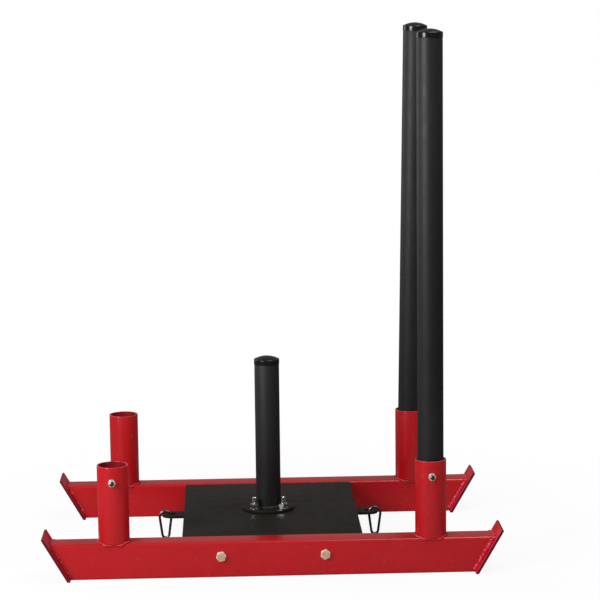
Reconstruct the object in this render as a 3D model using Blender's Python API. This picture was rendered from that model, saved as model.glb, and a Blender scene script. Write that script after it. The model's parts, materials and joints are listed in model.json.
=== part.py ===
"""Weight sled: two rectangular runners with sloping skid plates, a platform bolted between them
with a weight post, four pole sockets, two push poles and two snap hooks in tow lugs.

The frame has +X along the runners towards the end whose sockets hold the poles, +Z up, the near
runner at -Y, and its origin on the floor under the middle of the sled. Lengths are in metres.
"""

from math import asin, cos, hypot, pi, radians, sin, tan

import bmesh
import bpy
from mathutils import Matrix, Vector

MM = 0.001

# Space left between pieces that touch on the real sled
GAP = 0.3 * MM

# Runners, rectangular steel tube
RUNNER_WIDTH = 50 * MM
RUNNER_HEIGHT = 70 * MM
RUNNER_WALL = 3 * MM
RUNNER_CORNER = 5 * MM
RUNNER_SPACING = 480 * MM

# Skid plates, flat bar across the sloping runner ends
SKID_FOOT_LENGTH = 788 * MM
SKID_SLOPE = radians(60)
SKID_THICKNESS = 5 * MM
SKID_OVERHANG = 15 * MM
SKID_RISE = 14 * MM

# Round tube of the push poles and the weight post, with its domed cap
TUBE_DIAMETER = 50 * MM
TUBE_WALL = 2.5 * MM
CAP_OVERHANG = 0.5 * MM
CAP_RIM = 5 * MM
CAP_SHOULDER = 2.5 * MM
CAP_HEIGHT = 13 * MM
CAP_STEM = 20 * MM

# Push poles
POLE_LENGTH = 970 * MM
POLE_PLUG_RIM = 3 * MM
POLE_PLUG_STEM = 20 * MM
FAR_POLE_LEAN = radians(1)

# Pole sockets, round tube on the runner tops
SOCKET_CLEARANCE = 2 * MM
SOCKET_WALL = 3 * MM
SOCKET_RISE = 150 * MM
SOCKET_FROM_SKID_FOOT = 89 * MM

# Lock screws and lock nuts in the sockets
SCREW_DIAMETER = 8 * MM
SCREW_DROP = 28.5 * MM
SCREW_PROUD = 9 * MM
SCREW_CHAMFER = 0.8 * MM
SCREW_KEY_FLATS = 4 * MM
SCREW_KEY_DEPTH = 4 * MM
LOCK_NUT_FLATS = 13 * MM
LOCK_NUT_HEIGHT = 6.5 * MM

# Platform, steel plate with a flat bar welded down along each runner as a skirt
PLATFORM_LENGTH = 350 * MM
PLATFORM_THICKNESS = 8 * MM
PLATFORM_DROP = 1 * MM
SKIRT_HEIGHT = 36 * MM
SKIRT_THICKNESS = 5 * MM

# Bolts through the runners and the skirts
SIDE_BOLT_DIAMETER = 10 * MM
SIDE_BOLT_FLATS = 17 * MM
SIDE_BOLT_HEAD = 6.4 * MM
SIDE_BOLT_SPACING = 200 * MM
SIDE_BOLT_DROP = 26.5 * MM
SIDE_BOLT_LEFT_TURN = radians(10)
SIDE_BOLT_RIGHT_TURN = radians(24)
SIDE_NUT_HEIGHT = 8 * MM
SIDE_BOLT_PROUD = 3 * MM

# Weight post and its flange, bolted to the platform
POST_RISE = 309 * MM
POST_OFFSET = -3 * MM
FLANGE_THICKNESS = 5 * MM
FLANGE_EDGE = 12.2 * MM
FLANGE_BOLT_FROM_POST = 15.3 * MM
FLANGE_BOLT_DIAMETER = 10 * MM
FLANGE_BOLT_FLATS = 17 * MM
FLANGE_BOLT_HEAD = 6.4 * MM
FLANGE_BOLT_PROUD = 13.7 * MM
FLANGE_NUT_HEIGHT = 8.4 * MM
WASHER_DIAMETER = 20 * MM
WASHER_THICKNESS = 2 * MM

# Bevel at the tips of all these bolts
BOLT_CHAMFER = 0.8 * MM

# Tow lugs, flat bar welded under the platform's ends
LUG_WIDTH = 40 * MM
LUG_THICKNESS = 5 * MM
LUG_REACH = 44 * MM
LUG_UNDERLAP = 56 * MM
LUG_EYE_DIAMETER = 16 * MM

# Snap hooks, bent wire with a hinged gate
HOOK_WIRE = 5 * MM
HOOK_LENGTH = 60 * MM
HOOK_NARROW_RADIUS = 7 * MM
HOOK_PLAY = 0.74 * MM
HOOK_PIVOT_DROP = 1.1 * MM
GATE_LENGTH = 22.5 * MM
GATE_HINGE_RISE = 5.7 * MM
GATE_PIN_DIAMETER = 2 * MM
TONGUE_THICKNESS = 2 * MM
NOSE_TONGUE = 4 * MM
GATE_SWING_CLEARANCE = 0.5 * MM

# Sides in round shapes and in their bends
TUBE_SIDES = 40
BOLT_SIDES = 20
WIRE_SIDES = 12
CORNER_STEPS = 4
DOME_STEPS = 5
WIDE_ARC_STEPS = 16
NARROW_ARC_STEPS = 10
SHARP_ANGLE = radians(35)

# Places that follow from the sizes above
RUNNER_Y = RUNNER_SPACING / 2
RUNNER_INNER_Y = RUNNER_Y - RUNNER_WIDTH / 2
RUNNER_OUTER_Y = RUNNER_Y + RUNNER_WIDTH / 2
TUBE_RADIUS = TUBE_DIAMETER / 2
SOCKET_INNER_RADIUS = TUBE_RADIUS + SOCKET_CLEARANCE
SOCKET_OUTER_RADIUS = SOCKET_INNER_RADIUS + SOCKET_WALL
SOCKET_X = SKID_FOOT_LENGTH / 2 - SOCKET_FROM_SKID_FOOT
SOCKET_TOP = RUNNER_HEIGHT + SOCKET_RISE
SCREW_RADIUS = SCREW_DIAMETER / 2
PLATFORM_TOP = RUNNER_HEIGHT - PLATFORM_DROP
PLATFORM_UNDER = PLATFORM_TOP - PLATFORM_THICKNESS
PLATFORM_WIDTH = 2 * (RUNNER_INNER_Y - GAP)
SKIRT_INNER_Y = PLATFORM_WIDTH / 2 - SKIRT_THICKNESS
SIDE_BOLT_Z = PLATFORM_TOP - SIDE_BOLT_DROP
FLANGE_TOP = PLATFORM_TOP + GAP + FLANGE_THICKNESS
FLANGE_BOLT_CIRCLE = TUBE_RADIUS + FLANGE_BOLT_FROM_POST
FLANGE_RADIUS = FLANGE_BOLT_CIRCLE + FLANGE_EDGE
LUG_TOP = PLATFORM_UNDER - GAP
LUG_TIP_X = PLATFORM_LENGTH / 2 + LUG_REACH
LUG_EYE_X = LUG_TIP_X - LUG_WIDTH / 2
LUG_WEB = (LUG_WIDTH - LUG_EYE_DIAMETER) / 2
WIRE_RADIUS = HOOK_WIRE / 2
HOOK_PIVOT_X = LUG_TIP_X - LUG_WEB / 2
HOOK_PIVOT_Z = LUG_TOP - LUG_THICKNESS - HOOK_PIVOT_DROP
HOOK_WIDE_RADIUS = hypot(LUG_WEB / 2, LUG_THICKNESS + HOOK_PIVOT_DROP) + HOOK_PLAY + WIRE_RADIUS
HOOK_CENTRES = HOOK_LENGTH - HOOK_WIRE - HOOK_WIDE_RADIUS - HOOK_NARROW_RADIUS

SIDES = {"near": -1, "far": 1}
ENDS = {"left": -1, "right": 1}
FLANGE_BOLT_ANGLES = {"near_left": radians(225), "near_right": radians(315), "far": radians(90)}


def corners():
    """Name, end sign and side sign of the sled's four corners."""
    for side_name, side in SIDES.items():
        for end_name, end in ENDS.items():
            yield f"{side_name}_{end_name}", end, side


# Materials

def material(name, colour, roughness, metallic=0.0):
    """A Principled material of one colour."""
    paint = bpy.data.materials.new(name)
    paint.use_nodes = True
    shader = paint.node_tree.nodes["Principled BSDF"]
    shader.inputs["Base Color"].default_value = (*colour, 1.0)
    shader.inputs["Roughness"].default_value = roughness
    shader.inputs["Metallic"].default_value = metallic
    return paint


def red_paint(name):
    return material(name, (0.42, 0.02, 0.025), 0.3)


def black_paint(name):
    return material(name, (0.03, 0.03, 0.03), 0.35)


def black_plastic(name):
    return material(name, (0.012, 0.012, 0.012), 0.25)


def zinc(name):
    return material(name, (0.60, 0.54, 0.44), 0.4, 1.0)


def bright_steel(name):
    return material(name, (0.72, 0.72, 0.72), 0.25, 1.0)


# Outlines and meshes

def circle(radius, sides, centre=(0.0, 0.0)):
    """Points of a circle, anticlockwise."""
    points = []
    for step in range(sides):
        angle = 2 * pi * step / sides
        points.append((centre[0] + radius * cos(angle), centre[1] + radius * sin(angle)))
    return points


def hexagon(flats):
    """Points of a hexagon of that size across its flats."""
    return circle(flats / 2 / cos(pi / 6), 6)


def rounded_rectangle(width, height, radius):
    """Points of a rounded rectangle about the origin, anticlockwise."""
    points = []
    for quarter, (across, up) in enumerate(((1, 1), (-1, 1), (-1, -1), (1, -1))):
        centre = (across * (width / 2 - radius), up * (height / 2 - radius))
        for step in range(CORNER_STEPS + 1):
            angle = (quarter + step / CORNER_STEPS) * pi / 2
            points.append((centre[0] + radius * cos(angle), centre[1] + radius * sin(angle)))
    return points


def skin(bm, first, second):
    """Faces between two closed rings, either of which may be a single point."""
    count = max(len(first), len(second))
    for index in range(count):
        following = (index + 1) % count
        if len(first) == 1:
            bm.faces.new((first[0], second[index], second[following]))
        elif len(second) == 1:
            bm.faces.new((first[index], first[following], second[0]))
        else:
            bm.faces.new((first[index], first[following], second[following], second[index]))


def finished(bm, name):
    """The mesh of a closed body, its faces turned out, smooth but for its sharp edges."""
    bmesh.ops.recalc_face_normals(bm, faces=bm.faces[:])
    mesh = bpy.data.meshes.new(name)
    bm.to_mesh(mesh)
    bm.free()
    mesh.shade_smooth()
    mesh.set_sharp_from_angle(angle=SHARP_ANGLE)
    return mesh


def turned(name, profile, sides, hollow=False):
    """A body turned about Z from (radius, height) points, closed on itself where it is hollow."""
    bm = bmesh.new()
    rings = []
    for radius, height in profile:
        if radius == 0:
            rings.append([bm.verts.new((0, 0, height))])
        else:
            rings.append([bm.verts.new((x, y, height)) for x, y in circle(radius, sides)])
    for first, second in zip(rings, rings[1:]):
        skin(bm, first, second)
    if hollow:
        skin(bm, rings[-1], rings[0])
    return finished(bm, name)


def round_tube(name, outer, inner, bottom, top):
    profile = [(outer, bottom), (outer, top), (inner, top), (inner, bottom)]
    return turned(name, profile, TUBE_SIDES, hollow=True)


def loop_edges(bm, outline, height):
    """A closed loop of edges at one height."""
    verts = [bm.verts.new((x, y, height)) for x, y in outline]
    return [bm.edges.new((verts[i - 1], verts[i])) for i in range(len(verts))]


def plate(name, outline, holes, thickness):
    """A flat body from an outline and its holes, from z = 0 up to its thickness."""
    bm = bmesh.new()
    edges = loop_edges(bm, outline, 0)
    for hole in holes:
        edges += loop_edges(bm, hole, 0)
    bmesh.ops.triangle_fill(bm, use_beauty=True, edges=edges)
    raised = bmesh.ops.extrude_face_region(bm, geom=bm.faces[:])["geom"]
    moved = [item for item in raised if isinstance(item, bmesh.types.BMVert)]
    bmesh.ops.translate(bm, vec=(0, 0, thickness), verts=moved)
    return finished(bm, name)


def hex_bolt(name, flats, head, diameter, length):
    """A bolt along Z: the head stands up from z = 0 and the shank hangs down."""
    bm = bmesh.new()
    radius = diameter / 2
    narrow = radius - BOLT_CHAMFER
    outer = [bm.verts.new((x, y, 0)) for x, y in hexagon(flats)]
    crown = [bm.verts.new((x, y, head)) for x, y in hexagon(flats)]
    shank = [bm.verts.new((x, y, 0)) for x, y in circle(radius, BOLT_SIDES)]
    neck = [bm.verts.new((x, y, BOLT_CHAMFER - length)) for x, y in circle(radius, BOLT_SIDES)]
    tip = [bm.verts.new((x, y, -length)) for x, y in circle(narrow, BOLT_SIDES)]
    skin(bm, outer, crown)
    skin(bm, shank, neck)
    skin(bm, neck, tip)
    bm.faces.new(crown)
    bm.faces.new(tip)
    rim = [bm.edges.get((outer[i - 1], outer[i])) for i in range(len(outer))]
    rim += [bm.edges.get((shank[i - 1], shank[i])) for i in range(len(shank))]
    bmesh.ops.triangle_fill(bm, use_beauty=True, edges=rim)
    return finished(bm, name)


def hex_nut(name, flats, height, bolt_diameter):
    """A nut that stands on z = 0."""
    bore = circle(bolt_diameter / 2 + GAP, BOLT_SIDES)
    return plate(name, hexagon(flats), [bore], height)


# Placing

def place(name, mesh, paint, matrix, parent=None):
    """An object of the mesh, placed in the sled or in its parent's frame."""
    if not mesh.materials:
        mesh.materials.append(paint)
    item = bpy.data.objects.new(name, mesh)
    item.parent = parent
    item.matrix_basis = matrix
    bpy.context.scene.collection.objects.link(item)
    return item


def axis_empty(name, matrix, parent=None):
    """An empty on a moving piece's axis."""
    empty = bpy.data.objects.new(name, None)
    empty.empty_display_size = 20 * MM
    empty.parent = parent
    empty.matrix_basis = matrix
    bpy.context.scene.collection.objects.link(empty)
    return empty


def cutter(name, mesh, matrix, parent=None):
    """A body that only cuts others."""
    tool = bpy.data.objects.new(name, mesh)
    tool.parent = parent
    tool.matrix_basis = matrix
    tool.hide_render = True
    tool.display_type = "WIRE"
    bpy.context.scene.collection.objects.link(tool)
    return tool


def drill(name, radius, start, length, direction):
    """A round cutter from a start point along a direction."""
    mesh = turned(name, [(0, 0), (radius, 0), (radius, length), (0, length)], BOLT_SIDES)
    turn = Vector((0, 0, 1)).rotation_difference(Vector(direction)).to_matrix().to_4x4()
    return cutter(name, mesh, Matrix.Translation(start) @ turn)


def cut(item, tool):
    """Take a cutter's shape out of an object."""
    boolean = item.modifiers.new(tool.name, "BOOLEAN")
    boolean.operation = "DIFFERENCE"
    boolean.solver = "EXACT"
    boolean.object = tool


def outward(side):
    """Turn that points a piece's +Z away from the sled on that side."""
    return Matrix.Rotation(-side * pi / 2, 4, "X")


# Runners and skid plates

def skid_x(height):
    """Distance of a skid plate's outer face from the sled's middle at a height."""
    return SKID_FOOT_LENGTH / 2 + height / tan(SKID_SLOPE)


def runner_end(height):
    """Distance of a runner's end from the sled's middle at a height."""
    return skid_x(height) - (SKID_THICKNESS + GAP) / sin(SKID_SLOPE)


def runner_mesh():
    """A rectangular tube along X whose ends slope with the skid plates."""
    inner_corner = max(RUNNER_CORNER - RUNNER_WALL, GAP)
    hollow_width = RUNNER_WIDTH - 2 * RUNNER_WALL
    hollow_height = RUNNER_HEIGHT - 2 * RUNNER_WALL
    outlines = (
        rounded_rectangle(RUNNER_WIDTH, RUNNER_HEIGHT, RUNNER_CORNER),
        rounded_rectangle(hollow_width, hollow_height, inner_corner),
    )
    bm = bmesh.new()
    rings = []
    for outline in outlines:
        for end in (-1, 1):
            ring = []
            for across, up in outline:
                height = up + RUNNER_HEIGHT / 2
                ring.append(bm.verts.new((end * runner_end(height), across, height)))
            rings.append(ring)
    outer_left, outer_right, inner_left, inner_right = rings
    skin(bm, outer_left, outer_right)
    skin(bm, inner_left, inner_right)
    skin(bm, outer_left, inner_left)
    skin(bm, outer_right, inner_right)
    return finished(bm, "runner")


def skid_plate_mesh():
    """A flat bar across +X, sloping outwards, trimmed level at the floor and square at its top."""
    top = RUNNER_HEIGHT + SKID_RISE
    back = SKID_THICKNESS / sin(SKID_SLOPE)
    profile = (
        (skid_x(0), 0.0),
        (skid_x(top), top),
        (skid_x(top) - SKID_THICKNESS * sin(SKID_SLOPE), top + SKID_THICKNESS * cos(SKID_SLOPE)),
        (skid_x(0) - back, 0.0),
    )
    half = RUNNER_WIDTH / 2 + SKID_OVERHANG
    bm = bmesh.new()
    near = [bm.verts.new((x, -half, z)) for x, z in profile]
    far = [bm.verts.new((x, half, z)) for x, z in profile]
    skin(bm, near, far)
    bm.faces.new(near)
    bm.faces.new(far)
    return finished(bm, "skid_plate")


def build_runners(side_bolt_drills):
    runner = runner_mesh()
    runner_paint = red_paint("runner_paint")
    for side_name, side in SIDES.items():
        spot = Matrix.Translation((0, side * RUNNER_Y, 0))
        item = place(f"runner_{side_name}", runner, runner_paint, spot)
        for end_name in ENDS:
            cut(item, side_bolt_drills[f"{side_name}_{end_name}"])
    skid = skid_plate_mesh()
    skid_paint = red_paint("skid_plate_paint")
    for name, end, side in corners():
        turn = Matrix.Rotation(0 if end > 0 else pi, 4, "Z")
        spot = Matrix.Translation((0, side * RUNNER_Y, 0))
        place(f"skid_plate_{name}", skid, skid_paint, spot @ turn)


# Pole sockets with their lock screws

def lock_screw_mesh():
    """A grub screw along Z from its tip, which nearly reaches the pole, to its keyed outer end."""
    reach = SOCKET_OUTER_RADIUS + 2 * GAP + LOCK_NUT_HEIGHT + SCREW_PROUD
    tip = TUBE_RADIUS + GAP
    narrow = SCREW_RADIUS - SCREW_CHAMFER
    profile = (
        (0, tip),
        (narrow, tip),
        (SCREW_RADIUS, tip + SCREW_CHAMFER),
        (SCREW_RADIUS, reach - SCREW_CHAMFER),
        (narrow, reach),
        (0, reach),
    )
    return turned("lock_screw", profile, BOLT_SIDES), reach


def build_sockets():
    bottom = RUNNER_HEIGHT + GAP
    tube = round_tube("pole_socket", SOCKET_OUTER_RADIUS, SOCKET_INNER_RADIUS, bottom, SOCKET_TOP)
    screw, reach = lock_screw_mesh()
    nut = hex_nut("lock_nut", LOCK_NUT_FLATS, LOCK_NUT_HEIGHT, SCREW_DIAMETER)
    key = plate("screw_key", hexagon(SCREW_KEY_FLATS), [], 2 * SCREW_KEY_DEPTH)
    socket_paint = red_paint("pole_socket_paint")
    screw_steel = bright_steel("lock_screw_steel")
    nut_steel = bright_steel("lock_nut_steel")
    for name, end, side in corners():
        centre = Vector((end * SOCKET_X, side * RUNNER_Y, 0))
        centre_at_screw = centre + Vector((0, 0, SOCKET_TOP - SCREW_DROP))
        socket = place(f"pole_socket_{name}", tube, socket_paint, Matrix.Translation(centre))
        radius = SCREW_RADIUS + GAP
        cut(socket, drill(f"drill_screw_{name}", radius, centre_at_screw, reach, (0, side, 0)))
        screw_frame = Matrix.Translation(centre_at_screw) @ outward(side)
        item = place(f"lock_screw_{name}", screw, screw_steel, screw_frame)
        key_depth = Matrix.Translation((0, 0, reach - SCREW_KEY_DEPTH))
        cut(item, cutter(f"key_{name}", key, key_depth, parent=item))
        nut_seat = Matrix.Translation((0, 0, SOCKET_OUTER_RADIUS + GAP))
        place(f"lock_nut_{name}", nut, nut_steel, screw_frame @ nut_seat)


# Push poles, weight post and their caps

def dome(radius, bottom, top):
    """(radius, height) points of a shallow dome, from its rim to its crown."""
    height = top - bottom
    ball = (radius ** 2 + height ** 2) / (2 * height)
    widest = asin(min(radius / ball, 1))
    points = []
    for step in range(1, DOME_STEPS):
        angle = widest * (1 - step / DOME_STEPS)
        points.append((ball * sin(angle), top - ball * (1 - cos(angle))))
    points.append((0, top))
    return points


def cap_mesh():
    """A domed cap on z = 0 with a stem that hangs into its tube."""
    stem = TUBE_RADIUS - TUBE_WALL - GAP
    radius = TUBE_RADIUS + CAP_OVERHANG
    profile = [(0, -CAP_STEM), (stem, -CAP_STEM), (stem, 0), (radius, 0), (radius, CAP_RIM)]
    for step in range(1, CORNER_STEPS + 1):
        angle = step / CORNER_STEPS * pi / 2
        inset = CAP_SHOULDER * (1 - cos(angle))
        profile.append((radius - inset, CAP_RIM + CAP_SHOULDER * sin(angle)))
    profile += dome(radius - CAP_SHOULDER, CAP_RIM + CAP_SHOULDER, CAP_HEIGHT)
    return turned("tube_cap", profile, TUBE_SIDES)


def plug_mesh():
    """A plug whose rim is the lower end of a pole."""
    stem = TUBE_RADIUS - TUBE_WALL - GAP
    top = POLE_PLUG_RIM + POLE_PLUG_STEM
    rim = [(0, 0), (TUBE_RADIUS, 0), (TUBE_RADIUS, POLE_PLUG_RIM)]
    profile = rim + [(stem, POLE_PLUG_RIM), (stem, top), (0, top)]
    return turned("pole_plug", profile, TUBE_SIDES)


def build_poles(cap, cap_plastic):
    cap_seat = POLE_LENGTH - CAP_HEIGHT
    inner = TUBE_RADIUS - TUBE_WALL
    tube = round_tube("pole_tube", TUBE_RADIUS, inner, POLE_PLUG_RIM + GAP, cap_seat - GAP)
    plug = plug_mesh()
    tube_paint = black_paint("pole_tube_paint")
    plug_plastic = black_plastic("pole_plug_plastic")
    for side_name, lean in (("near", 0.0), ("far", FAR_POLE_LEAN)):
        foot = RUNNER_HEIGHT + GAP + TUBE_RADIUS * sin(lean)
        middle = (RUNNER_HEIGHT + SOCKET_TOP) / 2
        foot_x = SOCKET_X - (middle - foot) * tan(lean)
        spot = Matrix.Translation((foot_x, SIDES[side_name] * RUNNER_Y, foot))
        axis = axis_empty(f"pole_{side_name}_axis", spot @ Matrix.Rotation(lean, 4, "Y"))
        place(f"pole_{side_name}_plug", plug, plug_plastic, Matrix(), axis)
        place(f"pole_{side_name}_tube", tube, tube_paint, Matrix(), axis)
        place(f"pole_{side_name}_cap", cap, cap_plastic, Matrix.Translation((0, 0, cap_seat)), axis)


def build_post(cap, cap_plastic):
    foot = FLANGE_TOP + GAP
    cap_seat = POST_RISE - CAP_HEIGHT
    tube = round_tube("post_tube", TUBE_RADIUS, TUBE_RADIUS - TUBE_WALL, 0, cap_seat - GAP)
    spot = Matrix.Translation((POST_OFFSET, 0, foot))
    place("post_tube", tube, black_paint("post_tube_paint"), spot)
    place("post_cap", cap, cap_plastic, spot @ Matrix.Translation((0, 0, cap_seat)))


# Platform, post flange and their bolts

def platform_mesh():
    """A plate with a skirt under each side edge, as an outline drawn along X."""
    half = PLATFORM_WIDTH / 2
    bottom = PLATFORM_UNDER - SKIRT_HEIGHT
    right_half = [(SKIRT_INNER_Y, PLATFORM_UNDER), (SKIRT_INNER_Y, bottom), (half, bottom), (half, PLATFORM_TOP)]
    left_half = [(-y, z) for y, z in reversed(right_half)]
    outline = right_half + left_half
    bm = bmesh.new()
    left = [bm.verts.new((-PLATFORM_LENGTH / 2, y, z)) for y, z in outline]
    right = [bm.verts.new((PLATFORM_LENGTH / 2, y, z)) for y, z in outline]
    skin(bm, left, right)
    bm.faces.new(left)
    bm.faces.new(right)
    return finished(bm, "platform")


def side_bolt_drills():
    """Cutters for the bolt holes through each runner and the skirt beside it."""
    drills = {}
    for name, end, side in corners():
        start = (end * SIDE_BOLT_SPACING / 2, side * (RUNNER_OUTER_Y + RUNNER_WALL), SIDE_BOLT_Z)
        length = RUNNER_WIDTH + 2 * RUNNER_WALL + 2 * SKIRT_THICKNESS
        radius = SIDE_BOLT_DIAMETER / 2 + GAP
        drills[name] = drill(f"drill_side_{name}", radius, start, length, (0, -side, 0))
    return drills


def build_side_bolts():
    grip = RUNNER_OUTER_Y + GAP - SKIRT_INNER_Y + GAP
    length = grip + SIDE_NUT_HEIGHT + SIDE_BOLT_PROUD
    bolt = hex_bolt("side_bolt", SIDE_BOLT_FLATS, SIDE_BOLT_HEAD, SIDE_BOLT_DIAMETER, length)
    nut = hex_nut("side_nut", SIDE_BOLT_FLATS, SIDE_NUT_HEIGHT, SIDE_BOLT_DIAMETER)
    bolt_zinc = zinc("side_bolt_zinc")
    nut_zinc = zinc("side_nut_zinc")
    for name, end, side in corners():
        turn = SIDE_BOLT_LEFT_TURN if end < 0 else SIDE_BOLT_RIGHT_TURN
        spot = Vector((end * SIDE_BOLT_SPACING / 2, side * (RUNNER_OUTER_Y + GAP), SIDE_BOLT_Z))
        frame = Matrix.Translation(spot) @ outward(side) @ Matrix.Rotation(turn, 4, "Z")
        place(f"side_bolt_{name}", bolt, bolt_zinc, frame)
        nut_seat = Matrix.Translation((0, 0, -grip - SIDE_NUT_HEIGHT))
        place(f"side_nut_{name}", nut, nut_zinc, frame @ nut_seat)


def flange_bolt_spots():
    """Name and place of each flange bolt on its circle about the post."""
    for name, angle in FLANGE_BOLT_ANGLES.items():
        reach = Vector((cos(angle), sin(angle), 0)) * FLANGE_BOLT_CIRCLE
        yield name, Vector((POST_OFFSET, 0, 0)) + reach


def build_platform(drills):
    platform = place("platform", platform_mesh(), black_paint("platform_paint"), Matrix())
    profile = [(0, 0), (FLANGE_RADIUS, 0), (FLANGE_RADIUS, FLANGE_THICKNESS), (0, FLANGE_THICKNESS)]
    disc = turned("post_flange", profile, TUBE_SIDES)
    seat = Matrix.Translation((POST_OFFSET, 0, PLATFORM_TOP + GAP))
    flange = place("post_flange", disc, black_paint("post_flange_paint"), seat)
    for bore in drills.values():
        cut(platform, bore)
    for name, place_on_circle in flange_bolt_spots():
        start = place_on_circle + Vector((0, 0, PLATFORM_UNDER - PLATFORM_THICKNESS))
        length = FLANGE_TOP - PLATFORM_UNDER + 2 * PLATFORM_THICKNESS
        tool = drill(f"drill_flange_{name}", FLANGE_BOLT_DIAMETER / 2 + GAP, start, length, (0, 0, 1))
        cut(platform, tool)
        cut(flange, tool)


def build_flange_bolts():
    """Bolts with their heads under the platform, and a washer and a nut on the flange."""
    washer_bottom = FLANGE_TOP + GAP
    nut_bottom = washer_bottom + WASHER_THICKNESS + GAP
    top = nut_bottom + FLANGE_NUT_HEIGHT + FLANGE_BOLT_PROUD
    head_top = PLATFORM_UNDER - GAP
    diameter = FLANGE_BOLT_DIAMETER
    bolt = hex_bolt("flange_bolt", FLANGE_BOLT_FLATS, FLANGE_BOLT_HEAD, diameter, top - head_top)
    nut = hex_nut("flange_nut", FLANGE_BOLT_FLATS, FLANGE_NUT_HEIGHT, diameter)
    bore = circle(diameter / 2 + GAP, BOLT_SIDES)
    washer = plate("flange_washer", circle(WASHER_DIAMETER / 2, BOLT_SIDES), [bore], WASHER_THICKNESS)
    bolt_steel = bright_steel("flange_bolt_steel")
    nut_steel = bright_steel("flange_nut_steel")
    washer_steel = bright_steel("flange_washer_steel")
    heads_down = Matrix.Translation((0, 0, head_top)) @ Matrix.Rotation(pi, 4, "X")
    washer_seat = Matrix.Translation((0, 0, washer_bottom))
    nut_seat = Matrix.Translation((0, 0, nut_bottom))
    for name, place_on_circle in flange_bolt_spots():
        spot = Matrix.Translation(place_on_circle)
        place(f"flange_bolt_{name}", bolt, bolt_steel, spot @ heads_down)
        place(f"flange_washer_{name}", washer, washer_steel, spot @ washer_seat)
        place(f"flange_nut_{name}", nut, nut_steel, spot @ nut_seat)


# Tow lugs and snap hooks

def lug_mesh():
    """A flat bar towards +X with a round tip about its eye."""
    half = LUG_WIDTH / 2
    back = PLATFORM_LENGTH / 2 - LUG_UNDERLAP
    outline = [(back, half), (back, -half)]
    for step in range(TUBE_SIDES // 2 + 1):
        angle = -pi / 2 + pi * step / (TUBE_SIDES // 2)
        outline.append((LUG_EYE_X + half * cos(angle), half * sin(angle)))
    eye = circle(LUG_EYE_DIAMETER / 2, TUBE_SIDES // 2, (LUG_EYE_X, 0))
    return plate("tow_lug", outline, [eye], LUG_THICKNESS)


class HookPath:
    """The hook's centre line in its own plane, about the pivot, with +X outwards and +Z up.

    A wide arc about the pivot and a narrow arc below it are joined by two tangent legs. The gate
    takes the place of a stretch of the inner leg, above its hinge.
    """

    def __init__(self):
        taper = asin((HOOK_WIDE_RADIUS - HOOK_NARROW_RADIUS) / HOOK_CENTRES)
        self.low_centre = Vector((0, 0, -HOOK_CENTRES))
        self.inner_start = pi + taper
        self.outer_end = -taper
        self.leg_up = Vector((-sin(taper), 0, cos(taper)))
        foot = self.around(self.low_centre, HOOK_NARROW_RADIUS, self.inner_start)
        self.hinge = foot + GATE_HINGE_RISE * self.leg_up
        self.leg_lean = taper

    def around(self, centre, radius, angle):
        """A point of an arc in the hook's plane."""
        return centre + radius * Vector((cos(angle), 0, sin(angle)))

    def points(self):
        """The wire's centre line, from the nose over the wide arc and round to the gate hinge."""
        pivot = Vector((0, 0, 0))
        line = [self.hinge + (GATE_LENGTH - NOSE_TONGUE) * self.leg_up]
        for step in range(WIDE_ARC_STEPS + 1):
            angle = self.inner_start + (self.outer_end - self.inner_start) * step / WIDE_ARC_STEPS
            line.append(self.around(pivot, HOOK_WIDE_RADIUS, angle))
        sweep = self.inner_start - 2 * pi - self.outer_end
        for step in range(NARROW_ARC_STEPS + 1):
            angle = self.outer_end + sweep * step / NARROW_ARC_STEPS
            line.append(self.around(self.low_centre, HOOK_NARROW_RADIUS, angle))
        line.append(self.hinge)
        return line


def wire_mesh(name, line):
    """A round wire along a line in the XZ plane, flat at its start and rounded about its end."""
    across = Vector((0, 1, 0))
    bm = bmesh.new()
    rings = []
    for index, point in enumerate(line):
        before = line[max(index - 1, 0)]
        after = line[min(index + 1, len(line) - 1)]
        normal = (after - before).normalized().cross(across)
        ring = []
        for u, v in circle(WIRE_RADIUS, WIRE_SIDES):
            ring.append(bm.verts.new(point + u * normal + v * across))
        rings.append(ring)
    along = (line[-1] - line[-2]).normalized()
    normal = along.cross(across)
    for step in range(1, CORNER_STEPS):
        angle = step / CORNER_STEPS * pi / 2
        centre = line[-1] + WIRE_RADIUS * sin(angle) * along
        ring = []
        for u, v in circle(WIRE_RADIUS * cos(angle), WIRE_SIDES):
            ring.append(bm.verts.new(centre + u * normal + v * across))
        rings.append(ring)
    rings.append([bm.verts.new(line[-1] + WIRE_RADIUS * along)])
    for first, second in zip(rings, rings[1:]):
        skin(bm, first, second)
    bm.faces.new(rings[0])
    return finished(bm, name)


def gate_mesh():
    """The gate along +Z from its hinge at the origin, with a round lower end."""
    profile = [(0, -WIRE_RADIUS)]
    for step in range(1, CORNER_STEPS):
        angle = step / CORNER_STEPS * pi / 2
        profile.append((WIRE_RADIUS * sin(angle), -WIRE_RADIUS * cos(angle)))
    top = GATE_LENGTH - GATE_SWING_CLEARANCE
    profile += [(WIRE_RADIUS, 0), (WIRE_RADIUS, top), (0, top)]
    return turned("hook_gate", profile, WIRE_SIDES)


def slab(name, matrix, parent, width, bottom, top):
    """A flat cutter in the hook's plane: its width is across the plane, its length along Z."""
    side = 2 * HOOK_WIRE
    bm = bmesh.new()
    bmesh.ops.create_cube(bm, size=1)
    bmesh.ops.scale(bm, vec=(side, width, top - bottom), verts=bm.verts[:])
    bmesh.ops.translate(bm, vec=(0, 0, (top + bottom) / 2), verts=bm.verts[:])
    return cutter(name, finished(bm, name), matrix, parent)


def cut_tongue(item, name, frame, parent, bottom, top):
    """Thin the wire to a tongue between two heights over the gate hinge."""
    width = HOOK_WIRE
    for face, sign in (("a", -1), ("b", 1)):
        aside = Matrix.Translation((0, sign * (TONGUE_THICKNESS + width) / 2, 0))
        cut(item, slab(f"{name}_{face}", frame @ aside, parent, width, bottom, top))


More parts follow.
